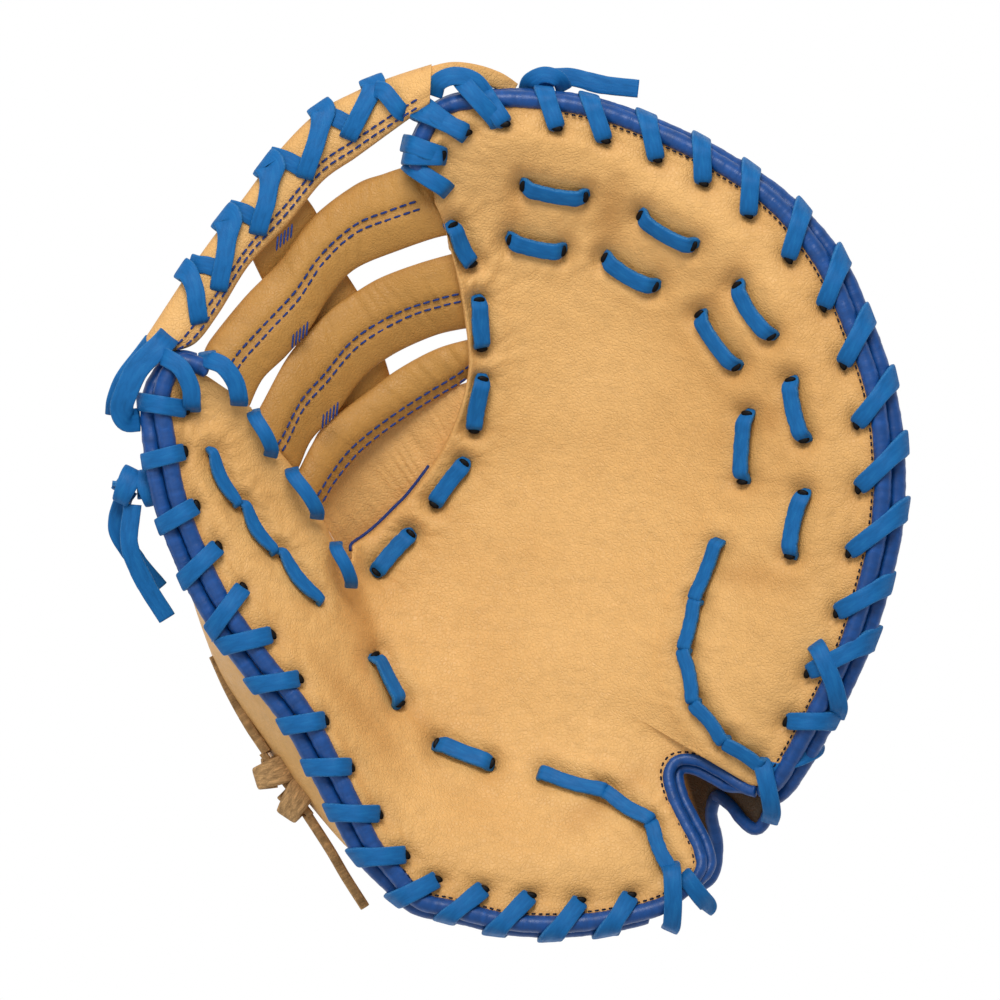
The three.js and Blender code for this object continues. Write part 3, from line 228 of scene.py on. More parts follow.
FOURTH_BAR = np.array([
    (-0.212, 0.018, 0.465, -0.192, -0.010, 0.43),
    (-0.203, 0.028, 0.46, -0.178, -0.003, 0.42),
    (-0.189, 0.055, 0.44, -0.165, 0.017, 0.40),
    (-0.175, 0.076, 0.42, -0.139, 0.048, 0.37),
    (-0.134, 0.108, 0.39, -0.101, 0.078, 0.345),
    (-0.101, 0.132, 0.39, -0.068, 0.099, 0.345),
    (-0.063, 0.152, 0.41, -0.036, 0.119, 0.37),
    (-0.028, 0.162, 0.445, -0.026, 0.130, 0.405),
])
WEB_BASE = np.array([
    (-0.190, 0.000, 0.375, -0.151, -0.068, 0.18),
    (-0.184, 0.010, 0.365, -0.139, -0.060, 0.18),
    (-0.170, 0.028, 0.325, -0.120, -0.034, 0.19),
    (-0.147, 0.056, 0.295, -0.092, -0.012, 0.205),
    (-0.106, 0.085, 0.285, -0.068, 0.018, 0.25),
    (-0.070, 0.105, 0.310, -0.046, 0.056, 0.295),
    (-0.028, 0.120, 0.360, -0.032, 0.082, 0.335),
])
WEB_POST = np.array([
    (-0.262, 0.275, 0.61, -0.205, 0.315, 0.61),
    (-0.245, 0.235, 0.58, -0.185, 0.290, 0.58),
    (-0.225, 0.195, 0.505, -0.165, 0.245, 0.495),
    (-0.195, 0.135, 0.44, -0.135, 0.195, 0.435),
    (-0.170, 0.085, 0.36, -0.115, 0.140, 0.355),
    (-0.150, 0.040, 0.25, -0.100, 0.085, 0.25),
    (-0.130, 0.010, 0.16, -0.090, 0.045, 0.165),
])
WRIST_STRAP = np.array([
    (-0.157, -0.243, 0.075, -0.151, -0.296, 0.24),
    (-0.110, -0.230, 0.045, -0.102, -0.335, 0.13),
    (-0.060, -0.220, 0.035, -0.045, -0.370, 0.05),
    (0.000, -0.208, 0.035, 0.030, -0.385, 0.035),
    (0.075, -0.202, 0.035, 0.110, -0.390, 0.05),
    (0.130, -0.217, 0.085, 0.175, -0.390, 0.11),
    (0.165, -0.238, 0.15, 0.208, -0.380, 0.16),
    (0.185, -0.249, 0.195, 0.215, -0.350, 0.19),
    (0.202, -0.258, 0.24, 0.209, -0.315, 0.24),
    (0.218, -0.266, 0.29, 0.217, -0.294, 0.28),
    (0.232, -0.273, 0.34, 0.234, -0.304, 0.33),
    (0.247, -0.280, 0.385, 0.247, -0.320, 0.38),
    (0.258, -0.285, 0.43, 0.258, -0.326, 0.42),
    (0.2785, -0.2625, 0.47, 0.270, -0.304, 0.46),
])

# Rim lace: where each turn comes up through the palm, and where it goes over the binding.
FINGER_TURNS = [
    (-0.058, 0.343, -0.088, 0.343), (-0.034, 0.366, -0.076, 0.385), (0.004, 0.375, -0.027, 0.421),
    (0.056, 0.371, 0.035, 0.431), (0.104, 0.359, 0.086, 0.414), (0.156, 0.340, 0.144, 0.398),
    (0.202, 0.317, 0.200, 0.375), (0.247, 0.285, 0.251, 0.343), (0.287, 0.241, 0.305, 0.302),
    (0.322, 0.193, 0.346, 0.252), (0.342, 0.136, 0.375, 0.195), (0.355, 0.076, 0.397, 0.131),
    (0.357, 0.012, 0.406, 0.060), (0.348, -0.052, 0.404, -0.010), (0.336, -0.112, 0.394, -0.081),
    (0.308, -0.172, 0.372, -0.140), (0.287, -0.221, 0.339, -0.221),
]
THUMB_TURNS = [
    (0.130, -0.396, 0.105, -0.434), (0.080, -0.401, 0.049, -0.439),
    (0.030, -0.396, -0.006, -0.434), (-0.017, -0.389, -0.058, -0.422),
    (-0.064, -0.379, -0.113, -0.403), (-0.095, -0.354, -0.149, -0.357),
    (-0.121, -0.313, -0.179, -0.310), (-0.149, -0.266, -0.204, -0.267),
    (-0.175, -0.219, -0.224, -0.226), (-0.201, -0.178, -0.253, -0.186),
    (-0.228, -0.134, -0.279, -0.145), (-0.256, -0.088, -0.287, -0.131),
    (-0.281, -0.047, -0.319, -0.085), (-0.303, -0.006, -0.344, -0.031),
    (-0.315, 0.048, -0.361, 0.037), (-0.313, 0.091, -0.372, 0.101),
]

# Lace runs on the palm: start, end and sideways bow.
PALM_RUNS = {
    "outer_lace": [(0.023, 0.313, 0.085, 0.302, 0.002), (0.140, 0.284, 0.193, 0.253, 0.003),
                   (0.236, 0.214, 0.270, 0.163, 0.003), (0.289, 0.119, 0.303, 0.060, 0.002),
                   (0.302, 0.007, 0.289, -0.056, 0.002)],
    "inner_lace": [(0.010, 0.260, 0.063, 0.249, 0.002), (0.105, 0.242, 0.155, 0.213, 0.003),
                   (0.199, 0.185, 0.235, 0.133, 0.002), (0.246, 0.086, 0.242, 0.019, 0.001)],
    "bay_lace": [(-0.047, 0.274, -0.028, 0.236, 0.003), (-0.021, 0.200, -0.018, 0.152, 0.001),
                 (-0.017, 0.121, -0.026, 0.070, 0.002), (-0.036, 0.037, -0.066, -0.004, 0.001),
                 (-0.090, -0.034, -0.124, -0.072, 0.001)],
    "thumb_edge_lace": [(-0.125, -0.156, -0.100, -0.204, 0.001)],
    "thumb_chain": [(-0.287, 0.045, -0.265, 0.000, 0.004), (-0.254, -0.008, -0.229, -0.048, 0.004),
                    (-0.217, -0.055, -0.183, -0.098, 0.004)],
    "pinky_chain": [(0.216, -0.047, 0.197, -0.095, -0.001), (0.195, -0.106, 0.186, -0.144, -0.001),
                    (0.185, -0.156, 0.193, -0.196, -0.002), (0.198, -0.208, 0.221, -0.237, -0.002),
                    (0.230, -0.245, 0.257, -0.262, -0.001)],
    "heel_chain": [(0.046, -0.275, 0.100, -0.290, 0.002), (0.110, -0.295, 0.146, -0.318, 0.002),
                   (0.153, -0.329, 0.168, -0.366, 0.002)],
    "heel_lace": [(-0.063, -0.244, -0.009, -0.264, 0.001)],
}

# Free ends of lace and thong: places along each, in table units.
CORD_ROUTES = {
    "top_tail": [(0.030, 0.4175, 0.69), (0.066, 0.4225, 0.70), (0.102, 0.4145, 0.70),
                 (0.138, 0.4105, 0.69)],
    "left_long_tail": [(-0.367, -0.0045, 0.648), (-0.370, -0.045, 0.64), (-0.355, -0.082, 0.60),
                       (-0.333, -0.118, 0.56)],
    "left_short_tail": [(-0.374, 0.009, 0.594), (-0.383, -0.028, 0.57), (-0.364, -0.060, 0.53),
                        (-0.341, -0.088, 0.48)],
    "thong_upper_tail": [(-0.2335, -0.2535, 0.413), (-0.252, -0.226, 0.40), (-0.272, -0.190, 0.38),
                         (-0.287, -0.157, 0.36)],
    "thong_lower_tail": [(-0.194, -0.3145, 0.407), (-0.170, -0.352, 0.38), (-0.155, -0.378, 0.36),
                         (-0.136, -0.408, 0.335)],
}


# ---- shapes shared by the pieces ----

def place(x, y, z):
    """Points in metres from table units: each share times its unit, moved to the mitt's origin."""
    x, y, z = np.broadcast_arrays(x, y, z)
    return np.stack([x * ACROSS + SHIFT_X, y * ALONG + SHIFT_Y, z * UP], -1)


def unit(v):
    """Vectors divided by their lengths."""
    return v / np.maximum(np.linalg.norm(v, axis=-1, keepdims=True), 1e-12)


def bell(distance, width, power=2):
    """1 at no distance and falling to 1/e at the width: a Gauss curve, or one of a higher power."""
    return np.exp(-((distance / width) ** power))


def arc_length(path):
    """Length from the first point to each point of a path."""
    return np.concatenate([[0], np.cumsum(np.linalg.norm(np.diff(path, axis=0), axis=1))])


def columns_at(x, places, rows):
    """Every column of rows at x, straight between their places."""
    return np.stack([np.interp(x, places, column) for column in rows.T], -1)


def calmed(vectors, reach):
    """Unit vectors, each the mean of its neighbours up to reach places away."""
    count = 2 * reach + 1
    padded = np.pad(vectors, ((reach, reach), (0, 0)), "edge")
    return unit(np.stack([np.convolve(column, np.ones(count) / count, "valid")
                          for column in padded.T], -1))


def right_of(path):
    """Level direction square to a path, to its right."""
    run = np.gradient(path, axis=0)
    return unit(np.stack([run[:, 1], -run[:, 0], 0 * run[:, 0]], -1))


def flat_sides(path):
    """Width direction of a strap that lies flat: level and square to its run."""
    return unit(np.cross(unit(np.gradient(path, axis=0)), Z_AXIS))


def upright(path):
    """Width direction of a strap on edge, and of a roll: straight up."""
    return np.broadcast_to(Z_AXIS, path.shape)


def widened(shares):
    """Scales of a sweep: each ring's width times its share, its thickness as it is."""
    return np.stack([shares, np.ones(len(shares))], -1)


def rows_at(rows, u):
    """Every column of a table at places u between its rows: a uniform Catmull-Rom cubic."""
    u = np.asarray(u, float)
    last = len(rows) - 1
    i = np.clip(np.floor(u).astype(int), 0, last - 1)
    t = (u - i)[..., None]
    a, b, c, d = (rows[np.clip(i + k, 0, last)] for k in (-1, 0, 1, 2))
    return 0.5 * (2 * b + (c - a) * t + (2 * a - 5 * b + 4 * c - d) * t**2
                  + (3 * b - a - 3 * c + d) * t**3)


def through_knots(knots, values, t):
    """Cubic Hermite through uneven knots, each slope the chord between its two neighbours."""
    t = np.asarray(t, float)
    last = len(knots) - 1
    i = np.clip(np.searchsorted(knots, t, side="left") - 1, 0, last - 1)
    index = np.arange(last + 1)
    before, after = np.maximum(index - 1, 0), np.minimum(index + 1, last)
    slopes = (values[..., after] - values[..., before]) / (knots[after] - knots[before])

    def pick(table, k):
        return np.take_along_axis(table, k[..., None], -1)[..., 0]

    span = knots[i + 1] - knots[i]
    s = (t - knots[i]) / span
    rise = s * s * (3 - 2 * s)
    return (pick(values, i) * (1 - rise) + pick(values, i + 1) * rise
            + span * (pick(slopes, i) * s * (1 - s)**2 - pick(slopes, i + 1) * s * s * (1 - s)))


def lattice_noise(x, y, seed):
    """Smooth noise from -1 to 1: hashed lattice values joined by a quintic fade."""
    x, y = np.asarray(x, float), np.asarray(y, float)
    ix, iy = np.floor(x).astype(np.int64), np.floor(y).astype(np.int64)
    fx, fy = x - ix, y - iy

    def corner(dx, dy):
        h = (ix + dx) * 374761393 + (iy + dy) * 668265263 + seed * 2246822519
        h = (h ^ (h >> 13)) * 1274126177
        return ((h ^ (h >> 16)) & 0xFFFF) / 32767.5 - 1

    sx, sy = fx**3 * (fx * (6 * fx - 15) + 10), fy**3 * (fy * (6 * fy - 15) + 10)
    return ((corner(0, 0) * (1 - sx) + corner(1, 0) * sx) * (1 - sy)
            + (corner(0, 1) * (1 - sx) + corner(1, 1) * sx) * sy)


def step_between(a, b, x):
    """0 below a, 1 above b, and an S curve between."""
    t = np.clip((x - a) / (b - a), 0, 1)
    return t * t * (3 - 2 * t)


def binding_radius(u):
    """Half the binding's thickness: thinner round the notch."""
    thin = step_between(FIRST_NOTCH - 0.9, FIRST_NOTCH + 0.1, u)
    thin = thin * (1 - step_between(LAST_NOTCH - 0.1, LAST_NOTCH + 0.9, u))
    size = bpy.context.scene.mitt_sizes
    return size.binding_diameter / 2 + (size.notch_diameter - size.binding_diameter) / 2 * thin


def rim_at(u):
    """Middle of the front binding at station u."""
    row = rows_at(PALM, u)
    return place(row[..., 0], row[..., 1], row[..., 8])


def outward_at(u):
    """Level direction out of the rim: its run turned a quarter to the left."""
    step = 0.05
    run = rim_at(np.minimum(u + step, LAST)) - rim_at(np.maximum(u - step, 0))
    return unit(np.stack([-run[..., 1], run[..., 0], np.zeros(run.shape[:-1])], -1))


def back_rim_at(u):
    """Middle of the back binding: it touches the front one, outward and below."""
    apart = 2 * binding_radius(u) + ROLL_GAP
    out = np.minimum(rows_at(PALM, u)[..., 9] * PEEK, apart * 0.95)
    down = np.sqrt(apart**2 - out**2)
    return rim_at(u) + outward_at(u) * out[..., None] - Z_AXIS * down[..., None]


def palm_plain(u, v):
    """Upper palm face without its relief: straight from web side to rim in plan, its height
    through five knots."""
    row = rows_at(PALM, u)
    inner = place(row[..., 2], row[..., 3], 0)
    reach = binding_radius(u) * 0.75
    outer = place(row[..., 0], row[..., 1], 0) - outward_at(u) * reach[..., None]
    heights = row[..., 4:9] * UP
    heights[..., 4] += PALM_EDGE / 2 - 0.0008
    point = inner + (outer - inner) * v[..., None]
    point[..., 2] = through_knots(ACROSS_KNOTS, heights, v)
    return point


class CalmHeights:
    """Heights of the palm averaged over plan: a raster of the mean height in each 1.5 mm cell,
    blurred by a bell 7 mm wide that counts filled cells only. It levels the steps where stations
    crowd together at the notch and at the foot of the thumb."""

    CELL = 0.0015
    BELL = 0.007
    MARGIN = 0.03
    made = None

    def __init__(self):
        u, v = np.meshgrid(np.linspace(0, LAST, 901), np.linspace(0, 1, 161), indexing="ij")
        points = palm_plain(u, v).reshape(-1, 3)
        self.low = points[:, :2].min(0) - self.MARGIN
        count = np.ceil((points[:, :2].max(0) + self.MARGIN - self.low) / self.CELL).astype(int)
        cell = ((points[:, :2] - self.low) / self.CELL).astype(int)
        flat = cell[:, 0] * count[1] + cell[:, 1]
        size = int(count.prod())
        filled = np.bincount(flat, minlength=size)
        total = np.bincount(flat, weights=points[:, 2], minlength=size)
        mask = (filled > 0).astype(float).reshape(count)
        mean = (total / np.maximum(filled, 1)).reshape(count)
        reach = int(3 * self.BELL / self.CELL)
        weights = bell(np.arange(-reach, reach + 1) * self.CELL, self.BELL)

        def blur(grid):
            for axis in (0, 1):
                grid = np.apply_along_axis(np.convolve, axis, grid, weights, "same")
            return grid

        self.grid = blur(mean * mask) / np.maximum(blur(mask), 1e-9)

    def sample(self, xy):
        """Height at places in plan, straight between the cells' middles."""
        at = (xy - self.low) / self.CELL - 0.5
        i = np.clip(np.floor(at).astype(int), 0, np.array(self.grid.shape) - 2)
        f = at - i
        i, j, fx, fy = i[..., 0], i[..., 1], f[..., 0], f[..., 1]
        near = self.grid[i, j] * (1 - fx) + self.grid[i + 1, j] * fx
        far = self.grid[i, j + 1] * (1 - fx) + self.grid[i + 1, j + 1] * fx
        return near * (1 - fy) + far * fy


def palm_surface(u, v):
    """The palm's face with its crowded stations levelled; the rim keeps its own height."""
    if CalmHeights.made is None:
        CalmHeights.made = CalmHeights()
    point = palm_plain(u, v)
    weight = step_between(11, 14, u) * (1 - step_between(35.5, 38.5, u))
    weight = weight * (1 - step_between(0.80, 0.96, v))
    point[..., 2] += (CalmHeights.made.sample(point[..., :2]) - point[..., 2]) * weight
    return point


def palm_thickness(u, v):
    """Thin in the pocket, padded near the rim, thick along the thumb's inner edge."""
    thumb = step_between(THUMB_START - 1, THUMB_START, u)
    inner = PALM_WALL + (THUMB_EDGE - PALM_WALL) * thumb
    values = np.stack([inner, inner, np.full_like(inner, PALM_WALL + 0.001),
                       np.full_like(inner, PAD_WALL), np.full_like(inner, PALM_EDGE)], -1)
    return through_knots(ACROSS_KNOTS, values, v)


class PalmMap:
    """Finds the palm's height and facing under any place, from a fine grid of its face."""

    STATIONS = 541
    SHARES = 121
    STEPS = np.linspace(-1, 1, 13)

    def __init__(self):
        self.us, self.vs = np.linspace(0, LAST, self.STATIONS), np.linspace(0, 1, self.SHARES)
        u, v = np.meshgrid(self.us, self.vs, indexing="ij")
        self.grid = palm_surface(u, v)
        self.flat = self.grid[..., :2].reshape(-1, 2)

    def at(self, xy):
        """Point and upward normal of the palm nearest each place in plan."""
        xy = np.asarray(xy, float).reshape(-1, 2)
        u, v = np.empty(len(xy)), np.empty(len(xy))
        for i, spot in enumerate(xy):
            near = np.argmin(((self.flat - spot) ** 2).sum(1))
            u[i], v[i] = self.us[near // len(self.vs)], self.vs[near % len(self.vs)]
        du = (self.STEPS * (self.us[1] - self.us[0]))[:, None]
        dv = (self.STEPS * (self.vs[1] - self.vs[0]))[None, :]
        uu = np.clip(u[:, None, None] + du, 0, LAST) + 0 * dv
        vv = np.clip(v[:, None, None] + dv, 0, 1) + 0 * du
        fine = palm_surface(uu, vv)
        gap = ((fine[..., :2] - xy[:, None, None, :]) ** 2).sum(-1).reshape(len(xy), -1)
        best = np.argmin(gap, 1)
        pick = np.arange(len(xy))
        u, v = uu.reshape(len(xy), -1)[pick, best], vv.reshape(len(xy), -1)[pick, best]
        return palm_surface(u, v), self.normal(u, v)

    @staticmethod
    def normal(u, v):
        """Upward normal from small steps both ways."""
        a = palm_surface(np.minimum(u + 0.03, LAST), v) - palm_surface(np.maximum(u - 0.03, 0), v)
        b = palm_surface(u, np.minimum(v + 0.02, 1)) - palm_surface(u, np.maximum(v - 0.02, 0))
        n = unit(np.cross(a, b))
        return n * np.sign(n[..., 2:3])


def station_near(x, y, start, end):
    """The station whose binding passes nearest a place."""
    us = np.linspace(start, end, 400)
    gap = np.linalg.norm(rim_at(us)[:, :2] - place(x, y, 0)[:2], axis=1)
    return float(us[np.argmin(gap)])


def smooth_path(points, count):
    """Points evenly spread along a Catmull-Rom curve whose knots are the chord lengths."""
    points = np.asarray(points, float)
    knots = arc_length(points) + 1e-9 * np.arange(len(points))
    t = np.linspace(0, knots[-1], count * 4)
    dense = np.stack([through_knots(knots, np.broadcast_to(points[:, k], (len(t), len(points))), t)
                      for k in range(points.shape[1])], -1)
    run = arc_length(dense)
    return columns_at(np.linspace(0, run[-1], count), run, dense)


# ---- meshes ----

class Surface:
    """Collects points, faces and point values, and puts them into one mesh."""

    def __init__(self):
        self.points, self.faces, self.values, self.count = [], [], {}, 0

    def add(self, points, faces, **values):
        """Adds a block: points (n, 3), a list of index arrays, and one value a point."""
        points = points.reshape(-1, 3)
        self.points.append(points)
        self.faces += [np.asarray(f) + self.count for f in faces]
        for name in sorted(set(self.values) | set(values)):
            block = values.get(name, 0.0)
            block = np.broadcast_to(np.asarray(block, float).ravel(), (len(points),))
            self.values.setdefault(name, [np.zeros(self.count)]).append(block)
        self.count += len(points)

    def mesh(self, name):
        """The finished mesh, smooth shaded."""
        mesh = bpy.data.meshes.new(name)
        points = np.concatenate(self.points)
        sizes = np.concatenate([np.full(len(f), f.shape[1]) for f in self.faces])
        loops = np.concatenate([f.ravel() for f in self.faces])
        mesh.vertices.add(len(points))
        mesh.vertices.foreach_set("co", points.astype(np.float32).ravel())
        mesh.loops.add(len(loops))
        mesh.loops.foreach_set("vertex_index", loops.astype(np.int32))
        mesh.polygons.add(len(sizes))
        starts = np.concatenate([[0], np.cumsum(sizes)[:-1]])
        mesh.polygons.foreach_set("loop_start", starts.astype(np.int32))
        mesh.polygons.foreach_set("loop_total", sizes.astype(np.int32))
        mesh.polygons.foreach_set("use_smooth", np.ones(len(sizes), bool))
        mesh.update(calc_edges=True)
        for key, blocks in self.values.items():
            layer = mesh.attributes.new(key, "FLOAT", "POINT")
            layer.data.foreach_set("value", np.concatenate(blocks).astype(np.float32))
        return mesh


def grid_faces(n, m, turned=False, ring=False):
    """Quads over an n by m grid of points; ring joins the last column to the first."""
    i = np.arange(n - 1)[:, None]
    j = np.arange(m if ring else m - 1)[None, :]
    a, b = i * m + j, i * m + (j + 1) % m
    quads = np.stack([a, b, b + m, a + m], -1).reshape(-1, 4)
    return quads[:, ::-1] if turned else quads


def add_shell(surface, top, under, **values):
    """A closed wall between two grids of the same shape, the top one facing up."""
    n, m = top.shape[:2]
    a = unit(np.cross(top[1:, :-1] - top[:-1, :-1], top[:-1, 1:] - top[:-1, :-1]))
    up = a[..., 2].mean() > 0
    layer = n * m
    near, far = np.arange(n) * m, np.arange(n) * m + m - 1
    start, end = np.arange(m), (n - 1) * m + np.arange(m)

    def side(line, flip):
        quads = np.stack([line[:-1], line[1:], line[1:] + layer, line[:-1] + layer], -1)
        return quads[:, ::-1] if flip else quads

    faces = [grid_faces(n, m, turned=up), grid_faces(n, m, turned=not up) + layer,
             side(near, up), side(far, not up), side(start, not up), side(end, up)]
    both = {key: np.tile(np.ravel(np.broadcast_to(value, (n, m))), 2)
            for key, value in values.items()}
    surface.add(np.concatenate([top.reshape(-1, 3), under.reshape(-1, 3)]), faces, **both)


def add_sweep(surface, path, sides, outline, scale=None, **values):
    """A closed body: the outline carried along the path, its x along sides and its y square to
    both. Each end is shut by one flat face."""
    n, k = len(path), len(outline)
    run = unit(np.gradient(path, axis=0))
    side = unit(sides - run * (sides * run).sum(-1, keepdims=True))
    up = np.cross(side, run)
    scale = np.ones((n, 2)) if scale is None else scale
    points = (path[:, None] + side[:, None] * (outline[None, :, :1] * scale[:, None, :1])
              + up[:, None] * (outline[None, :, 1:] * scale[:, None, 1:]))
    x, y = outline[:, 0], outline[:, 1]
    turned = (x * np.roll(y, -1) - y * np.roll(x, -1)).sum() < 0
    caps = [np.arange(k)[None, :], (n - 1) * k + np.arange(k)[None, ::-1]]
    if turned:
        caps = [c[:, ::-1] for c in caps]
    along = np.repeat(arc_length(path), k)
    across = np.tile(x / max(np.abs(x).max(), 1e-9), n)
    surface.add(points, [grid_faces(n, k, turned=not turned, ring=True), *caps],
                along=along, across=across, **values)


def round_outline(radius, count):
    """Points on a circle."""
    a = np.linspace(0, 2 * math.pi, count, endpoint=False)
    return np.stack([np.cos(a), np.sin(a)], -1) * radius


def strap_outline(width, thickness):
    """An oblong with rounded corners: a circle raised to a small power each way."""
    a = np.linspace(0, 2 * math.pi, STRAP_SIDES, endpoint=False)
    x = np.sign(np.cos(a)) * np.abs(np.cos(a)) ** 0.32 * width / 2
    y = np.sign(np.sin(a)) * np.abs(np.sin(a)) ** 0.5 * thickness / 2
    return np.stack([x, y], -1)


def add_object(name, surface, finish, replaced=()):
    """Makes a piece of a surface, rides it on the body and stands it for its CAD nodes."""
    piece = bpy.data.objects.new(name, surface.mesh(name))
    bpy.context.scene.collection.objects.link(piece)
    piece.data.materials.append(material(finish))
    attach(piece, "root")
    if replaced:
        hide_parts(*replaced)
    return piece


def add_stitches(surface, path, normals, length, gap, radius):
    """Short rounded threads end to end along a path, each a six-sided bead of four rings."""
    run = arc_length(path)
    count = max(1, int(run[-1] / (length + gap)))
    centre = (np.arange(count) + 0.5) * run[-1] / count
    at = columns_at(centre, run, path)
    up = unit(columns_at(centre, run, normals))
    along = unit(columns_at(centre + length / 3, run, path) - at)
    across = unit(np.cross(up, along))
    up = np.cross(along, across)
    rings, sides = np.array([-1, -0.72, 0.72, 1]), 6
    wide = np.array([0.35, 1, 1, 0.35])
    a = np.arange(sides) * 2 * math.pi / sides
    x = np.repeat(rings, sides) * length / 2
    y = (wide[:, None] * np.cos(a)[None]).ravel() * radius
    z = (wide[:, None] * np.sin(a)[None]).ravel() * radius * 0.8
    dip = -0.5 * radius * (np.repeat(rings, sides) ** 2)
    points = (at[:, None] + along[:, None] * x[None, :, None] + across[:, None] * y[None, :, None]
              + up[:, None] * (z + dip)[None, :, None])
    block = len(x)
    offset = (np.arange(count) * block)[:, None, None]
    quads = (grid_faces(4, sides, ring=True)[None] + offset).reshape(-1, 4)
    caps = [(np.arange(sides)[::-1][None, None] + offset).reshape(-1, sides),
            ((3 * sides + np.arange(sides))[None, None] + offset).reshape(-1, sides)]
    surface.add(points, [quads, *caps])


# ---- materials ----

class Shader:
    """A material's node tree with one principled shader, and short calls to add nodes."""

    def __init__(self, name):
        self.material = bpy.data.materials.new(name)
        self.material.use_nodes = True
        self.tree = self.material.node_tree
        self.tree.nodes.clear()
        self.shader = self.node("ShaderNodeBsdfPrincipled")
        output = self.node("ShaderNodeOutputMaterial")
        self.tree.links.new(self.shader.outputs["BSDF"], output.inputs["Surface"])
        self.where = self.node("ShaderNodeTexCoord").outputs["Object"]

    def node(self, kind, **settings):
        """Adds a node and sets its properties."""
        made = self.tree.nodes.new(kind)
        for key, value in settings.items():
            setattr(made, key, value)
        return made

    def plug(self, socket, value):
        """Gives a socket a link, or a value of its own."""
        if isinstance(value, bpy.types.NodeSocket):
            self.tree.links.new(value, socket)
        else:
            socket.default_value = value

    def feed(self, node, **inputs):
        """Plugs sockets by name; underscores in a name stand for spaces."""
        for key, value in inputs.items():
            self.plug(node.inputs[key.replace("_", " ")], value)
        return node

    def noise(self, scale, detail=3.0, roughness=0.55, distortion=0.0, vector=None):
        """Noise in metres: scale is features a metre."""
        made = self.feed(self.node("ShaderNodeTexNoise"), Vector=vector or self.where, Scale=scale,
                         Detail=detail, Roughness=roughness, Distortion=distortion)
        return made.outputs["Fac"]

    def cells(self, scale, feature="F1"):
        """Voronoi cells: distance to the nearest point or edge."""
        made = self.node("ShaderNodeTexVoronoi", feature=feature)
        return self.feed(made, Vector=self.where, Scale=scale).outputs["Distance"]

    def ramp(self, value, *stops):
        """A colour ramp from (place, colour or grey) stops."""
        made = self.feed(self.node("ShaderNodeValToRGB"), Fac=value)
        points = made.color_ramp.elements
        while len(points) < len(stops):
            points.new(0.5)
        for point, (at, colour) in zip(points, stops):
            point.position = at
            point.color = (colour,) * 3 + (1,) if isinstance(colour, float) else (*colour[:3], 1)
        return made.outputs["Color"]

    def mix(self, factor, a, b, blend="MIX"):
        """Two colours mixed."""
        made = self.node("ShaderNodeMix", data_type="RGBA", blend_type=blend)
        for index, value in ((0, factor), (6, a), (7, b)):
            self.plug(made.inputs[index], (*value, 1) if isinstance(value, tuple) else value)
        return made.outputs[2]

    def math(self, operation, a, b=0.0, clamp=False):
        """One sum on two numbers."""
        made = self.node("ShaderNodeMath", operation=operation, use_clamp=clamp)
        self.plug(made.inputs[0], a)
        self.plug(made.inputs[1], b)
        return made.outputs[0]

    def value(self, name):
        """A point value of the mesh."""
        return self.node("ShaderNodeAttribute", attribute_name=name).outputs["Fac"]

    def share(self, name):
        """A point value of the mesh, held between 0 and 1."""
        return self.math("MULTIPLY", self.value(name), 1.0, True)

    def stretched(self, x, y, z):
        """Object coordinates scaled each way."""
        made = self.feed(self.node("ShaderNodeMapping"), Vector=self.where, Scale=(x, y, z))
        return made.outputs["Vector"]

    def on_lace(self, along, across):
        """Coordinates that follow a lace or roll: its length and its width."""
        made = self.node("ShaderNodeCombineXYZ")
        self.feed(made, X=self.math("MULTIPLY", self.value("along"), along),
                  Y=self.math("MULTIPLY", self.value("across"), across))
        return made.outputs["Vector"]

    def bump(self, height, distance, strength=1.0, below=None):
        """Adds relief to the shader's normal, on top of an earlier bump."""
        made = self.feed(self.node("ShaderNodeBump"), Height=height, Distance=distance,
                         Strength=strength)
        if below is not None:
            self.plug(made.inputs["Normal"], below)
        return made.outputs["Normal"]

    def finish(self, **inputs):
        """Feeds the shader's sockets and returns the material."""
        self.feed(self.shader, **inputs)
        return self.material


def tint(colour, factor):
    """A colour times a factor or three, no channel above 1."""
    return tuple(np.minimum(colour * factor, 1))


def leather_finish(s, colour, depth=1.0):
    """Smooth full-grain leather: mottled colour, pores, pebbled grain, fine wrinkles, and painted
    shade and shadow.
    """
    broad = s.noise(14, 3, 0.5)
    fine = s.noise(260, 4, 0.6)
    tone = s.ramp(broad, (0.30, tint(colour, (0.90, 0.86, 0.80))), (0.52, tint(colour, 1)),
                  (0.75, tint(colour, (1.05, 1.07, 1.12))))
    tone = s.mix(0.5, tone, s.ramp(fine, (0.32, 0.86), (0.6, 1.0)), "MULTIPLY")
    pores = s.cells(1500)
    tone = s.mix(0.55, tone, s.ramp(pores, (0.0, 0.72), (0.22, 1.0)), "MULTIPLY")
    streaks = s.noise(60, 5, 0.65, 1.4, s.stretched(1.0, 2.4, 1.0))
    tone = s.mix(0.35, tone, s.ramp(streaks, (0.36, 0.84), (0.50, 1.0)), "MULTIPLY")
    # Painted shade: darker, warmer leather where the shade value marks creases, dimples, grooves,
    # edges and valleys.
    tone = s.mix(s.share("shade"), tone, tint(colour, (0.62, 0.50, 0.36)))
    # Painted shadow: near-black where the dark value marks the lace holes' hollows and the wrist
    # notch's hollow.
    tone = s.mix(s.share("dark"), tone, (0.016, 0.008, 0.005))
    grain = s.cells(780, "DISTANCE_TO_EDGE")
    relief = s.bump(s.ramp(grain, (0.0, 0.0), (0.20, 1.0)), 0.00018 * depth, 0.7)
    relief = s.bump(fine, 0.00022 * depth, 0.8, relief)
    relief = s.bump(s.noise(95, 3, 0.5, 0.8), 0.0006 * depth, 0.5, relief)
    relief = s.bump(s.noise(420, 2, 0.5, 0.6), 0.0003 * depth, 0.5, relief)
    rough = s.ramp(s.noise(180, 3), (0.35, 0.44), (0.65, 0.58))
    return s.finish(Base_Color=tone, Roughness=rough, Normal=relief, Specular_IOR_Level=0.30)


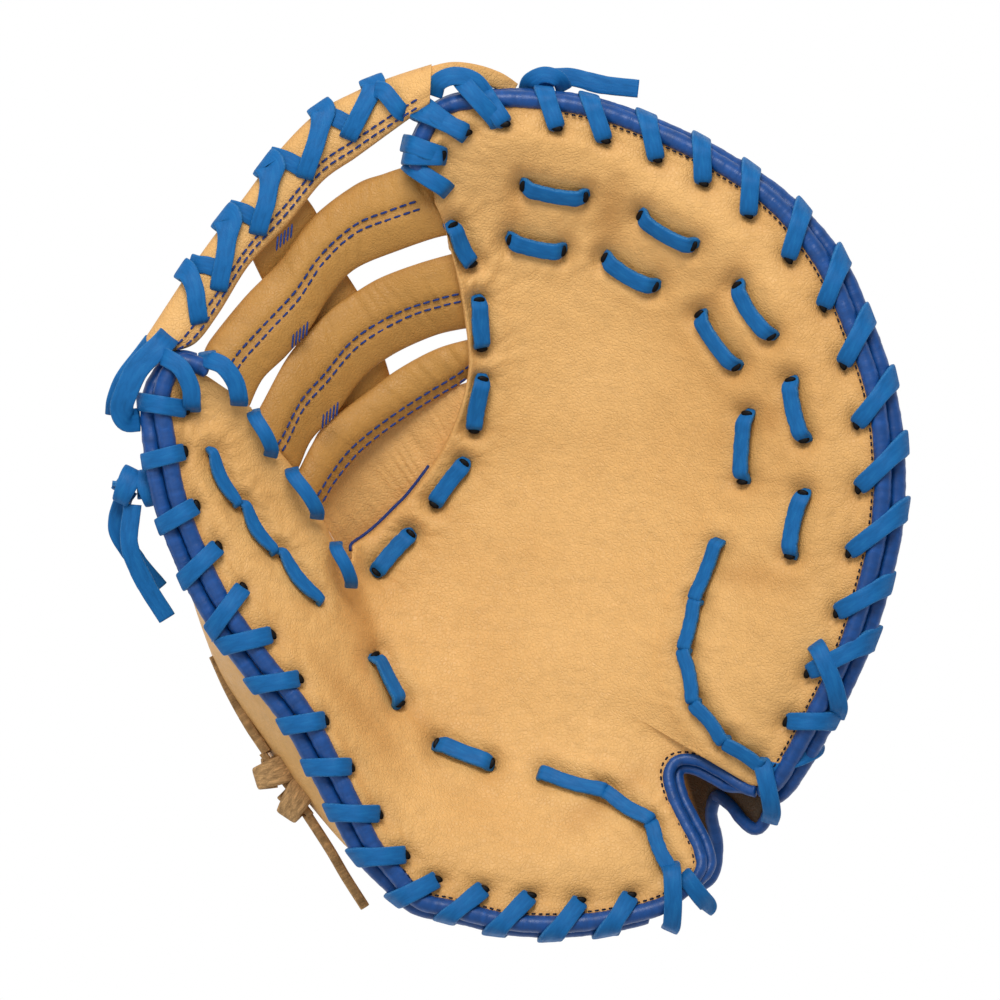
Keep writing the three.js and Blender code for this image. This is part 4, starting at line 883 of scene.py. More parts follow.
def lace_finish(s, colour):
    """Waxed rawhide lace: lengthwise streaks, a smooth face and rough paler cut edges."""
    streak = s.noise(1.0, 4, 0.6, 0.4, s.on_lace(140, 2.2))
    tone = s.ramp(streak, (0.30, tint(colour, 0.78)), (0.52, tint(colour, 1)),
                  (0.72, tint(colour, (1.5, 1.22, 1.10))))
    edge = s.math("SUBTRACT", s.math("ABSOLUTE", s.value("across")), 0.86)
    edge = s.math("MULTIPLY", edge, 7.0, True)
    speck = s.noise(1600, 3, 0.7)
    fuzz = s.ramp(speck, (0.40, tint(colour, (1.0, 0.9, 0.8))), (0.62, (0.07, 0.24, 0.48)))
    tone = s.mix(s.math("MULTIPLY", edge, 0.75), tone, fuzz)
    relief = s.bump(s.noise(1.0, 4, 0.65, 0.5, s.on_lace(420, 5)), 0.00017, 0.6)
    relief = s.bump(speck, 0.00012, 0.7, relief)
    rough = s.ramp(s.noise(300, 3), (0.35, 0.46), (0.65, 0.62))
    return s.finish(Base_Color=tone, Roughness=rough, Normal=relief, Specular_IOR_Level=0.16)


def binding_finish(s, colour):
    """Polished binding leather: deep blue, tight cross wrinkles and a soft gloss."""
    wave = s.noise(1.0, 4, 0.6, 0.3, s.on_lace(260, 1.0))
    tone = s.ramp(wave, (0.30, tint(colour, 0.72)), (0.55, tint(colour, 1)),
                  (0.75, tint(colour, 1.35)))
    tone = s.mix(0.4, tone, s.ramp(s.noise(700, 3), (0.35, 0.75), (0.6, 1.0)), "MULTIPLY")
    relief = s.bump(s.noise(1.0, 5, 0.6, 0.6, s.on_lace(330, 0.8)), 0.0004, 0.7)
    relief = s.bump(s.cells(1300, "DISTANCE_TO_EDGE"), 0.00006, 0.5, relief)
    rough = s.ramp(s.noise(240, 3), (0.35, 0.34), (0.65, 0.46))
    return s.finish(Base_Color=tone, Roughness=rough, Normal=relief, Specular_IOR_Level=0.4)


def thong_finish(s, colour):
    """Raw suede thong: brown fibres, dark between and paler on top."""
    fibre = s.noise(1.0, 6, 0.75, 0.8, s.on_lace(300, 4))
    tone = s.ramp(fibre, (0.32, tint(colour, 0.45)), (0.52, tint(colour, 1)),
                  (0.72, tint(colour, 1.8)))
    relief = s.bump(s.noise(1400, 5, 0.75), 0.0004, 0.9)
    rough = s.ramp(s.noise(200, 3), (0.3, 0.78), (0.7, 0.95))
    return s.finish(Base_Color=tone, Roughness=rough, Normal=relief, Specular_IOR_Level=0.2)


def thread_finish(s, colour):
    """Waxed sewing thread with a fine twist."""
    twist = s.noise(2600, 2, 0.5)
    tone = s.ramp(twist, (0.35, tint(colour, 0.6)), (0.65, tint(colour, 1.3)))
    return s.finish(Base_Color=tone, Roughness=s.ramp(twist, (0.3, 0.4), (0.7, 0.6)),
                    Normal=s.bump(twist, 0.0001, 0.8), Specular_IOR_Level=0.15)


def material(kind):
    """The named finish, made once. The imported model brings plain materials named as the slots,
    so each finish has a name of its own."""
    colours = bpy.context.scene.mitt_colours
    name = kind + "_finish"
    found = bpy.data.materials.get(name)
    if found:
        return found
    finish, colour, *depth = {
        "tan_leather": (leather_finish, colours.leather),
        "web_leather_and_shade": (leather_finish, colours.web_leather_and_shade, 0.7),
        "blue_binding": (binding_finish, colours.binding),
        "blue_lace": (lace_finish, colours.lace),
        "tan_thong": (thong_finish, colours.thong),
        "blue_thread": (thread_finish, colours.thread),
        "dark_thread": (thread_finish, (0.012, 0.014, 0.030)),
        # Painted shadow for the lace holes: near-black.
        "painted_hole_shadow": (thread_finish, (0.003, 0.002, 0.002)),
    }[kind]
    return finish(Shader(name), np.array(colour), *depth)


# ---- relief of the leather ----

def segment_frame(xy, start, end):
    """Distance from a segment and place along it, 0 to 1, of each point in plan."""
    run = end - start
    t = np.clip(((xy - start) @ run) / (run @ run), 0, 1)
    return np.linalg.norm(xy - start - t[..., None] * run, axis=-1), t


def palm_relief(xy, holes, runs, creases):
    """Height added to the palm, and its painted shadow and painted shade, at places in plan. Each
    hole is a dimple with wrinkles that spread from it, painted shadow in its middle and painted
    shade round it;
    each lace run lies in a shallow groove with raised lips and painted shade; each crease is a
    narrow valley that fades along its length, with painted shade in it; the rest is slow noise."""
    x, y = xy[..., 0], xy[..., 1]
    height = 0.0005 * lattice_noise(x * 22, y * 22, 3) + 0.00012 * lattice_noise(x * 60, y * 60, 5)
    dark, shade = np.zeros(x.shape), np.zeros(x.shape)
    for k, (hx, hy, turn, size) in enumerate(holes):
        dx, dy = x - hx, y - hy
        along = dx * math.cos(turn) + dy * math.sin(turn)
        over = -dx * math.sin(turn) + dy * math.cos(turn)
        r = np.hypot(along / 1.5, over)
        height -= size * (DIMPLE[0] * bell(r, DIMPLE[1])
                          + DIMPLE_SKIRT[0] * bell(r, DIMPLE_SKIRT[1]))
        # Painted shadow in the hole's middle, and painted shade in its dimple below.
        dark = np.maximum(dark, min(1, 0.4 + size) * bell(r, 0.0008 + 0.0007 * size, 4))
        shade = np.maximum(shade, 0.35 * bell(r, 0.0050))
        angle = np.arctan2(dy, dx)
        rays = np.sin(angle * RAYS + 3 * lattice_noise(x * 110, y * 110, k))
        rays = rays * np.exp(-r / DIMPLE_SKIRT[1])
        height += RAY_HEIGHT * rays * step_between(0.002, 0.005, r)
    for start, end in runs:
        d, _ = segment_frame(xy, start, end)
        height += GROOVE_LIP[0] * bell(d - GROOVE_LIP_PLACE, GROOVE_LIP[1])
        height -= GROOVE[0] * bell(d, GROOVE[1])
        # Painted shade in the lace run's groove.
        shade = np.maximum(shade, 0.22 * bell(d, 0.0040, 4))
    for start, end, depth, width in creases:
        d, t = segment_frame(xy, start, end)
        fade = np.sin(np.pi * np.clip(0.06 + 0.88 * t, 0, 1)) ** 0.7
        lip = 0.5 * bell(d - CREASE_LIP_PLACE * width, width)
        height += depth * fade * (lip - bell(d, width))
        # Painted shade in the crease.
        shade = np.maximum(shade, 0.45 * fade * bell(d, 0.8 * width))
    return height, dark, shade


def back_outside(u, w, valleys=()):
    """Outer face of a back shell: a quarter round down from the binding, a flat where it rests,
    and a rise to the web side, with a valley between each two fingers."""
    row = rows_at(PALM, u)
    size = bpy.context.scene.mitt_sizes
    rim = back_rim_at(u) - outward_at(u) * (size.binding_diameter / 2 - 0.0012)
    inner = place(row[..., 2], row[..., 3], 0)
    wall = palm_thickness(u, np.zeros_like(u)) + WEB_WALL + BACK_WALL + 0.001
    inner_top = np.maximum(row[..., 4] * UP - wall, BACK_WALL)
    groove = sum((bell(u - at, VALLEY_WIDTH) for at in valleys), 0 * u)
    lift = groove * VALLEY_DEPTH * np.sin(np.pi * np.minimum(1, w * 1.1))
    round_part, flat_part = w < ROUND_END, w < FLAT_END
    turn = np.clip(w / ROUND_END, 0, 1) * np.pi / 2
    last = np.clip((w - FLAT_END) / (1 - FLAT_END), 0, 1) * np.pi / 2
    first = 1 - (1 - ROUND_SHARE) * (0.45 * w / ROUND_END + 0.55 * (1 - np.cos(turn)))
    flat = np.interp(w, (ROUND_END, FLAT_END), (ROUND_SHARE, FLAT_SHARE))
    share = np.where(round_part, first,
                     np.where(flat_part, flat, FLAT_SHARE * (1 - np.sin(last))))
    height = np.where(round_part, (rim[..., 2] - BACK_WALL / 2) * (1 - np.sin(turn)),
                      np.where(flat_part, 0, inner_top * (1 - np.cos(last))))
    point = inner + (rim * (1, 1, 0) - inner) * share[..., None]
    bulge = THUMB_BULGE * bell(u - BULGE_STATION, BULGE_WIDTH)
    bulge = bulge * np.where(round_part, np.sin(2 * turn), 0)
    point = point + outward_at(u) * bulge[..., None]
    point[..., 2] = np.maximum(0, height + lift)
    return point


def grid_normals(points):
    """Unit normals of a grid of points."""
    return unit(np.cross(np.gradient(points, axis=0), np.gradient(points, axis=1)))


def band_point(rows, u, v, dome):
    """Top face of a web bar: straight between its edges, raised by a sine dome."""
    row = rows_at(rows, u)
    high, low = (place(*np.moveaxis(row[..., k:k + 3], -1, 0)) for k in (0, 3))
    point = high + (low - high) * v[..., None]
    ends = np.minimum(1, np.minimum(u, len(rows) - 1 - u))
    point[..., 2] += dome * ends * np.sin(np.pi * v)
    return point


def fold_share(v):
    """How full a folded strap is from edge to edge: round at both edges and flat between."""
    return 0.14 + 0.86 * np.sqrt(np.clip(1 - np.abs(2 * v - 1) ** 5, 0, 1))


def add_band(surface, rows, dome, wall, channels=(), wrinkle=0.0, seed=0, steps=150, wide=44,
             puff=0.0008, ends=(0.0, 0.0), painted_shadow_span=None):
    """A folded leather bar: round edges, a pressed channel under each seam, cross wrinkles, painted
    shade along its edges and channels, and painted shadow over a given span.
    """
    s = np.linspace(0, 1, wide)
    v = 0.45 * s + 0.275 * (1 - np.cos(np.pi * s))
    u = np.linspace(-ends[0], len(rows) - 1 + ends[1], steps)
    uu, vv = np.meshgrid(u, v, indexing="ij")
    mid = band_point(rows, uu, vv, dome)
    along = np.cumsum(np.linalg.norm(np.gradient(mid[:, wide // 2], axis=0), axis=1))[:, None]
    width = np.linalg.norm(mid[:, -1] - mid[:, 0], axis=1)[:, None]
    relief = puff * np.sin(np.pi * vv)
    # Painted shade along both edges of the bar, and under each seam's channel below.
    shade = 0.35 * bell(np.minimum(vv, 1 - vv) * width, 0.0016)
    for at in channels:
        d = np.abs(vv - at) * width
        relief = relief - 0.0008 * bell(d, 0.0022)
        shade = np.maximum(shade, 0.22 * bell(d, 0.0026))
    cross = lattice_noise(along * 330 + 0 * vv, vv * width * 40, seed)
    cross = cross + 0.6 * lattice_noise(along * 750 + 0 * vv, vv * width * 60, seed + 1)
    relief = relief + wrinkle * cross * np.sin(np.pi * vv) ** 0.5
    full = fold_share(vv)
    top = mid + Z_AXIS * ((relief - (1 - full) * wall / 2)[..., None])
    under = mid - Z_AXIS * ((wall - (1 - full) * wall / 2)[..., None])
    # Painted shadow: near-black over the given span of stations.
    dark = 0 * uu if painted_shadow_span is None else 0.93 * step_between(*painted_shadow_span, uu)
    add_shell(surface, top, under, shade=shade, dark=dark)


def seam_path(rows, dome, u, at, lift):
    """A line along a bar at places u and at share at of its width, lifted, and its normals."""
    v = np.broadcast_to(at, u.shape)
    path = band_point(rows, u, v, dome)
    side = band_point(rows, u, v + 0.05, dome) - path
    normal = unit(np.cross(side, np.gradient(path, axis=0)))
    normal = normal * np.sign(normal[:, 2:3])
    return path + normal * lift, normal


# ---- settings a user would change ----

def length_setting(name, description, default, low, high):
    """A length that a user may change, in metres."""
    return bpy.props.FloatProperty(name=name, description=description, default=default, min=low,
                                   max=high, unit="LENGTH")


def number_setting(name, description, default, low, high):
    """A plain number that a user may change."""
    return bpy.props.FloatProperty(name=name, description=description, default=default, min=low,
                                   max=high)


def colour_setting(name, description, default):
    """A colour that a user may change."""
    return bpy.props.FloatVectorProperty(name=name, description=description, default=default,
                                         subtype="COLOR", size=3, min=0, max=1)


class MittSizes(bpy.types.PropertyGroup):
    """Sizes of the trim."""

    binding_diameter: length_setting(
        "Binding", "Thickness of a rolled binding", 0.006, 0.004, 0.007)
    notch_diameter: length_setting(
        "Notch binding", "Thickness of the binding round the wrist notch", 0.0042, 0.003, 0.005)
    lace_width: length_setting("Lace width", "Width of the rawhide lace", 0.0062, 0.004, 0.008)
    lace_thickness: length_setting(
        "Lace thickness", "Thickness of the rawhide lace", 0.0019, 0.001, 0.003)
    stitch_length: length_setting(
        "Stitch", "Length of one stitch on the web", 0.0026, 0.001, 0.005)


class MittColours(bpy.types.PropertyGroup):
    """Colours of the finishes."""

    leather: colour_setting("Leather", "Palm and back leather", (0.80, 0.450, 0.155))
    # Darker copy of the palm leather: partly the web bars' own tone, partly painted shade for bars
    # that lie in shade.
    web_leather_and_shade: colour_setting("Web leather", "Leather of the web bars", (0.52, 0.265, 0.065))
    binding: colour_setting("Binding", "Rolled edge bindings", (0.006, 0.068, 0.27))
    lace: colour_setting("Lace", "Rawhide lace", (0.008, 0.125, 0.36))
    thong: colour_setting("Thong", "Raw suede thong", (0.46, 0.27, 0.115))
    thread: colour_setting("Thread", "Sewing thread", (0.02, 0.045, 0.19))


class MittStage(bpy.types.PropertyGroup):
    """Camera and light."""

    view_width: length_setting("View width", "Width of the picture at the mitt", 0.34, 0.2, 1.0)
    lens: number_setting("Lens", "Focal length in millimetres", 600, 50, 1000)
    key_power: number_setting("Key light", "Power of the soft key light", 14.5, 0, 200)
    fill: number_setting("Fill light", "Strength of the white surroundings", 0.46, 0, 3)


# ---- operators ----

class MITT_OT_stage(bpy.types.Operator):
    """Camera straight above, pale floor, soft light from beyond the finger tips"""

    bl_idname = "mitt.stage"
    bl_label = "Stage"

    def execute(self, context):
        stage = context.scene.mitt_stage
        camera = bpy.data.objects.new("camera", bpy.data.cameras.new("camera"))
        context.scene.collection.objects.link(camera)
        camera.data.lens = stage.lens
        camera.data.sensor_width = SENSOR
        camera.data.clip_end = 50
        distance = stage.view_width * stage.lens / SENSOR
        camera.location = (SHIFT_X, SHIFT_Y, FOCUS_HEIGHT + distance)
        context.scene.camera = camera

        floor = Surface()
        spread = np.linspace(-FLOOR_REACH, FLOOR_REACH, 3)
        x, y = np.meshgrid(spread, spread, indexing="ij")
        top = np.stack([x, y, 0 * x - 0.0003], -1)
        add_shell(floor, top, top - Z_AXIS * 0.02)
        plane = bpy.data.objects.new("floor", floor.mesh("floor"))
        context.scene.collection.objects.link(plane)
        s = Shader("floor")
        plane.data.materials.append(s.finish(Base_Color=(0.0, 0.0, 0.0, 1), Roughness=1.0,
                                             Specular_IOR_Level=0.0,
                                             Emission_Color=(1, 1, 1, 1), Emission_Strength=1.0))

        def area(name, at, aim, side, power):
            lamp = bpy.data.lights.new(name, "AREA")
            lamp.shape = "DISK"
            lamp.size = side
            lamp.energy = power
            held = bpy.data.objects.new(name, lamp)
            context.scene.collection.objects.link(held)
            held.location = at
            held.rotation_euler = (Vector(aim) - Vector(at)).to_track_quat("-Z", "Y").to_euler()

        area("key", (-0.10, 0.80, 1.20), (0, 0, 0.03), 0.7, stage.key_power)
        area("fill", (-0.8, -0.2, 1.0), (0, 0, 0.03), 1.0, stage.key_power * 0.12)
        world = bpy.data.worlds.new("surroundings")
        world.use_nodes = True
        background = world.node_tree.nodes["Background"]
        background.inputs["Color"].default_value = (1, 1, 1, 1)
        background.inputs["Strength"].default_value = stage.fill
        context.scene.world = world
        context.scene.view_settings.view_transform = "Standard"
        return {"FINISHED"}


class MITT_OT_tails(bpy.types.Operator):
    """Free lace ends, the suede thong and their knots"""

    bl_idname = "mitt.tails"
    bl_label = "Free ends and knots"

    def execute(self, context):
        size = context.scene.mitt_sizes
        knots = {
            "left_long_tail": self.knot(
                "left_knot", "left_knot_lace", "blue_lace", axis=(1, -0.1, 0), half=0.0085,
                across=0.0050, high=0.0034, width=0.0066, thick=0.0020),
            "thong_upper_tail": self.knot(
                "thong_knot", "thong_knot_wrap", "tan_thong", axis=(1, -1.3, 0), half=0.0135,
                across=0.0058, high=0.0048, width=0.0088, thick=0.0026),
        }
        for name, rows in CORD_ROUTES.items():
            thong = name.startswith("thong")
            path = smooth_path(place(*np.array(rows).T), 60)
            width, thick = THONG_SECTION if thong else (size.lace_width, size.lace_thickness)
            made = Surface()
            scale = widened(1 + 0.05 * lattice_noise(np.linspace(0, 14, 60), np.zeros(60), 4))
            add_sweep(made, path, upright(path) if thong else flat_sides(path),
                      strap_outline(width, thick), scale)
            kind = "tan_thong" if thong else "blue_lace"
            piece = add_object(name + ("_strip" if thong else "_lace"), made, kind, [name])
            length = float(arc_length(path)[-1])
        return {"FINISHED"}

    @staticmethod
    def knot(node, name, kind, axis, half, across, high, width, thick):
        """A pulled-tight knot: a core strap, half its length each way along its axis, and two
        leaning rings of strap wrapped round it, each an ellipse that grows toward its end."""
        low, high_corner = (np.array(p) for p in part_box(node))
        centre, axis = (low + high_corner) / 2, unit(np.array(axis, float))
        level = unit(np.cross(axis, Z_AXIS))
        made = Surface()
        core = centre + axis * np.linspace(-half, half, 12)[:, None]
        add_sweep(made, core, upright(core), strap_outline(width * 0.6, thick))
        for offset, lean in ((-0.42, 0.38), (0.42, -0.34)):
            a = np.radians(np.linspace(-130, 260, 70))
            grow = np.linspace(1, 1.18, 70)[:, None]
            way = unit(axis + level * lean)
            out = unit(np.cross(Z_AXIS, way))
            middle = centre + axis * (offset * half)
            middle = middle + way * (np.linspace(-1, 1, 70)[:, None] * 0.001)
            ring = out * np.cos(a)[:, None] * across + Z_AXIS * np.sin(a)[:, None] * high
            path = middle + ring * grow
            add_sweep(made, path, np.broadcast_to(way, path.shape), strap_outline(width, thick),
                      widened(1 + 0.12 * np.sin(a * 1.5)))
        return add_object(name, made, kind, [node])


class MITT_OT_palm(bpy.types.Operator):
    """Padded palm with its dimpled lace holes, grooves and creases"""

    bl_idname = "mitt.palm"
    bl_label = "Palm"

    def execute(self, context):
        s = np.linspace(0, 1, 84)
        v = 0.5 * s + 0.25 * (1 - np.cos(np.pi * s))
        uu, vv = np.meshgrid(np.linspace(0, LAST, 590), v, indexing="ij")
        top = palm_surface(uu, vv)
        thick = palm_thickness(uu, vv)
        height, dark, shade = palm_relief(top[..., :2], palm_holes(), palm_grooves(),
                                          palm_creases())
        width = np.linalg.norm(top[:, -1, :2] - top[:, 0, :2], axis=1)[:, None]
        near = vv * width
        edge = np.clip(near / np.maximum(thick * 0.55, 1e-6), 0, 1)
        roll = np.sqrt(np.clip(1 - (1 - edge) ** 2, 0.02, 1))
        face = np.abs(grid_normals(top)[..., 2])
        under = top - Z_AXIS * ((thick / np.maximum(face, 0.8)) * (0.5 + 0.5 * roll))[..., None]
        fade = step_between(0, 0.004, near)
        top = top + Z_AXIS * (height * fade - thick * 0.5 * (1 - roll))[..., None]
        # Painted shadow of the binding along the palm's outer edge.
        shade = np.maximum(shade, 0.5 * bell((1 - vv) * width, 0.0035))
        made = Surface()
        add_shell(made, top, under, dark=dark, shade=shade)
        palm = add_object("palm_leather", made, "tan_leather", ["palm_panel"])
        # Near-black domes as painted shadow in the lace holes.
        self.hole_shadows()
        self.edge_threads()
        return {"FINISHED"}

    @staticmethod
    def hole_shadows():
        """Painted shadow in every lace hole: a low pointed near-black dome sunk in its dimple."""
        ground = PalmMap()
        made = Surface()
        a = np.linspace(0, 2 * math.pi, 20, endpoint=False)
        for hx, hy, turn, size in palm_holes():
            at, up = ground.at((hx, hy))
            at, up = at[0], unit(up[0] + Z_AXIS)
            relief, _, _ = palm_relief(np.array([[hx, hy]]), [], [], [])
            along = np.array([math.cos(turn), math.sin(turn), 0.0])
            along = unit(along - up * (along @ up))
            over = np.cross(up, along)
            long, wide = 0.0016 + 0.0005 * size, 0.0004 + 0.0008 * size
            ring = along * np.cos(a)[:, None] * long + over * np.sin(a)[:, None] * wide
            centre = at + up * (float(relief[0]) + 0.0003)
            points = np.concatenate([centre + ring, centre + ring * 0.6 + up * 0.00022,
                                     (centre + up * 0.00028)[None], (centre - up * 0.0012)[None]])
            k = len(a)
            i = np.arange(k)
            j = (i + 1) % k
            top, foot = np.full(k, 2 * k), np.full(k, 2 * k + 1)
            made.add(points, [np.stack([i, j, j + k, i + k], -1),
                              np.stack([i + k, j + k, top], -1), np.stack([j, i, foot], -1)])
        add_object("lace_hole_shadows", made, "painted_hole_shadow")

    @staticmethod
    def edge_threads():
        """Dark stitches beside the binding and the blue piping on the web side of the palm."""
        threads = Surface()
        for start, end in ((4.2, 18.2), (19.4, 27.2), (27.9, 34.0)):
            u = np.linspace(start, end, int((end - start) * 40))
            row = rows_at(PALM, u)
            span = np.linalg.norm(place(*row[:, :2].T, 0) - place(*row[:, 2:4].T, 0), axis=1)
            v = 1 - 0.0014 / span
            path, normal = palm_surface(u, v), PalmMap.normal(u, v)
            relief, _, _ = palm_relief(path[:, :2], [], [], [])
            add_stitches(threads, path + normal * (relief + 0.0001)[:, None], normal, *EDGE_STITCH)
        add_object("edge_stitching", threads, "dark_thread")
        u = np.linspace(10.5, 21.0, 160)
        path = smooth_path(palm_surface(u, 0 * u), 200)
        path = path + right_of(path) * 0.0008 - Z_AXIS * 0.0016
        piping = Surface()
        add_sweep(piping, path, upright(path), round_outline(0.00055, 10))
        add_object("bay_piping", piping, "blue_thread")


def palm_holes():
    """Each lace hole in plan: its place, the way its long side runs, and its size."""
    holes = []
    for turns, start, end in ((FINGER_TURNS, 0, 17.8), (THUMB_TURNS, 28, LAST)):
        for hx, hy, ox, oy in turns:
            u = station_near(hx, hy, start, end)
            run = rim_at(min(u + 0.1, LAST)) - rim_at(max(u - 0.1, 0))
            spot, goal = place(hx, hy, 0), place(ox, oy, 0)
            spot = spot - unit(goal - spot) * 0.0003
            holes.append((spot[0], spot[1], math.atan2(run[1], run[0]), 1.0))
    for group, rows in PALM_RUNS.items():
        for sx, sy, ex, ey, _ in rows:
            a, b = place(sx, sy, 0), place(ex, ey, 0)
            turn = math.atan2(b[1] - a[1], b[0] - a[0]) + math.pi / 2
            size = 0.35 if group.endswith("chain") else 0.8
            for end, way in ((a, a - b), (b, b - a)):
                spot = end + unit(way) * 0.0002
                holes.append((spot[0], spot[1], turn, size))
    return holes


def palm_grooves():
    """The lace runs, as segments in plan."""
    return [(place(r[0], r[1], 0)[:2], place(r[2], r[3], 0)[:2])
            for rows in PALM_RUNS.values() for r in rows]


def palm_creases():
    """Main folds of the palm in plan: start, end, depth and width."""
    rows = [
        (-0.152, -0.066, -0.136, -0.118, 0.0016, 0.0040),
        (-0.141, -0.100, -0.120, -0.160, 0.0014, 0.0045),
        (-0.126, -0.142, -0.098, -0.208, 0.0012, 0.0050),
        (-0.100, -0.200, -0.058, -0.248, 0.0008, 0.0055),
        (-0.190, -0.150, -0.100, -0.260, 0.0006, 0.0060),
        (0.020, 0.330, 0.010, 0.260, 0.0005, 0.0060),
        (0.120, 0.330, 0.100, 0.230, 0.0006, 0.0070),
        (0.250, 0.250, 0.190, 0.160, 0.0007, 0.0070),
        (0.310, 0.100, 0.220, 0.060, 0.0006, 0.0070),
        (0.300, -0.080, 0.190, -0.070, 0.0007, 0.0070),
        (0.060, -0.330, 0.150, -0.270, 0.0007, 0.0060),
    ]
    return [(place(a, b, 0)[:2], place(c, d, 0)[:2], e, f) for a, b, c, d, e, f in rows]


class MITT_OT_backs(bpy.types.Operator):
    """Finger back, thumb back and wrist strap"""

    bl_idname = "mitt.backs"
    bl_label = "Backs and strap"

    def execute(self, context):
        self.shell("finger_back_leather", "finger_back", start=1.3, end=17.8, steps=260,
                   valleys=FINGER_VALLEYS, seed=11)
        self.shell("thumb_back_leather", "thumb_back", start=35, end=LAST - 0.9, steps=150,
                   valleys=(), seed=12)
        made = Surface()
        # Painted shadow: the strap's end inside the wrist notch is coloured near-black, for the
        # shade in its hollow.
        add_band(made, WRIST_STRAP, 0, 0.003, channels=(0.10, 0.90), wrinkle=0.0001, seed=31,
                 steps=170, wide=60, painted_shadow_span=(6.0, 6.7))
        add_object("wrist_strap_leather", made, "tan_leather", ["wrist_strap"])
        threads = Surface()
        for at in (0.10, 0.90):
            path, normal = seam_path(WRIST_STRAP, 0, np.linspace(0.3, 8.0, 300), at, 0.0)
            for lift, flip in ((0.0002, 1), (-0.0032, -1)):
                add_stitches(threads, path + normal * lift, normal * flip, *STRAP_STITCH)
        for u in FINGER_VALLEYS:
            w = np.linspace(0.12, 0.47, 80)
            for off in (-0.16, 0.16):
                uu = np.full(80, u + off)
                path = back_outside(uu, w, FINGER_VALLEYS)
                side = back_outside(uu + 0.05, w, FINGER_VALLEYS) - path
                normal = unit(np.cross(np.gradient(path, axis=0), side))
                normal = normal * np.sign((normal * outward_at(uu)).sum(-1, keepdims=True))
                add_stitches(threads, path + normal * 0.0003, normal, *VALLEY_STITCH)
        add_object("back_stitching", threads, "blue_thread")
        return {"FINISHED"}

    @staticmethod
    def shell(name, node, start, end, steps, valleys, seed):
        """A back shell whose wall lies inside its outer face, with soft dents and painted shade in
        its finger valleys.
        """
        uu, vv = np.meshgrid(np.linspace(start, end, steps), np.linspace(0, 1, 90), indexing="ij")
        outer = back_outside(uu, vv, valleys)
        normal = grid_normals(outer)
        normal = normal * np.where(normal[..., 2:3] < 0, -1, 1)
        dent = 0.0007 * lattice_noise(outer[..., 0] * 26, (outer[..., 1] + outer[..., 2]) * 26,
                                      seed)
        dent = dent + 0.0004 * lattice_noise(uu * 5, vv * 22, seed + 1)
        free = step_between(0.0005, 0.006, outer[..., 2]) * step_between(0, 0.05, vv)
        rim = np.sqrt(np.clip(1 - (1 - np.clip(vv / 0.03, 0, 1)) ** 2, 0.05, 1))
        inside = outer + normal * (BACK_WALL * rim)[..., None]
        outer = outer + normal * (np.maximum(dent, -0.0006) * free)[..., None]
        outer[..., 2] = np.maximum(outer[..., 2], 0)
        # Painted shade in the valleys between the fingers.
        shade = sum((0.4 * bell(uu - at, 0.1) for at in valleys), 0 * uu)
        made = Surface()
        add_shell(made, inside, outer, shade=shade)
        add_object(name, made, "tan_leather", [node])


class MITT_OT_bindings(bpy.types.Operator):
    """Rolled bindings round the edges and the notch"""

    bl_idname = "mitt.bindings"
    bl_label = "Bindings"

    def execute(self, context):
        rolls = (
            ("front_binding_fingers", rim_at, 0.0, 18.6, 420, 21, 1.0),
            ("back_binding_fingers", back_rim_at, 0.0, 18.1, 400, 22, 1.0),
            ("front_binding_thumb", rim_at, 27.8, LAST, 400, 23, 1.0),
            ("back_binding_thumb", back_rim_at, 28.5, LAST - 0.5, 380, 24, 1.0),
            ("notch_binding", rim_at, 18.7, 27.8, 220, 25, 0.72),
        )
        for node, along, start, end, steps, seed, most in rolls:
            u = np.linspace(start, end, steps)
            thin = binding_radius(u) / (context.scene.mitt_sizes.binding_diameter / 2)
            self.roll(node, smooth_path(along(u), steps), np.minimum(thin, most), seed)
        path = smooth_path(place(*WRIST_STRAP[:, 3:].T), 260)
        path = path + right_of(path) * 0.0012 - Z_AXIS * 0.0012
        self.roll("wrist_binding", path, np.full(260, 0.74), 26)
        u = np.linspace(19.1, 27.8, 200)
        apart = (step_between(19.1, 19.8, u) * (1 - step_between(26.6, 27.8, u)))[:, None]
        inner = smooth_path(rim_at(u) + (outward_at(u) * 0.0032 - Z_AXIS * 0.0034) * apart, 200)
        self.roll("notch_inner", inner, np.full(200, 0.66), 27)
        return {"FINISHED"}

    @staticmethod
    def roll(node, path, thin, seed):
        """A roll: a circle along the path, its radius stirred by tight cross wrinkles."""
        radius = bpy.context.scene.mitt_sizes.binding_diameter / 2
        length = arc_length(path)
        wave = 1 + 0.030 * lattice_noise(length * 420, 0 * length, seed)
        wave = wave + 0.022 * lattice_noise(length * 900, 0 * length, seed + 9)
        scale = (thin * wave)[:, None] * np.ones(2)
        scale[0] = scale[-1] = scale[0] * 0.6
        made = Surface()
        add_sweep(made, path, upright(path), round_outline(radius, 20), scale)
        add_object(f"{node}_roll", made, "blue_binding",
                   [] if node == "notch_inner" else [node])


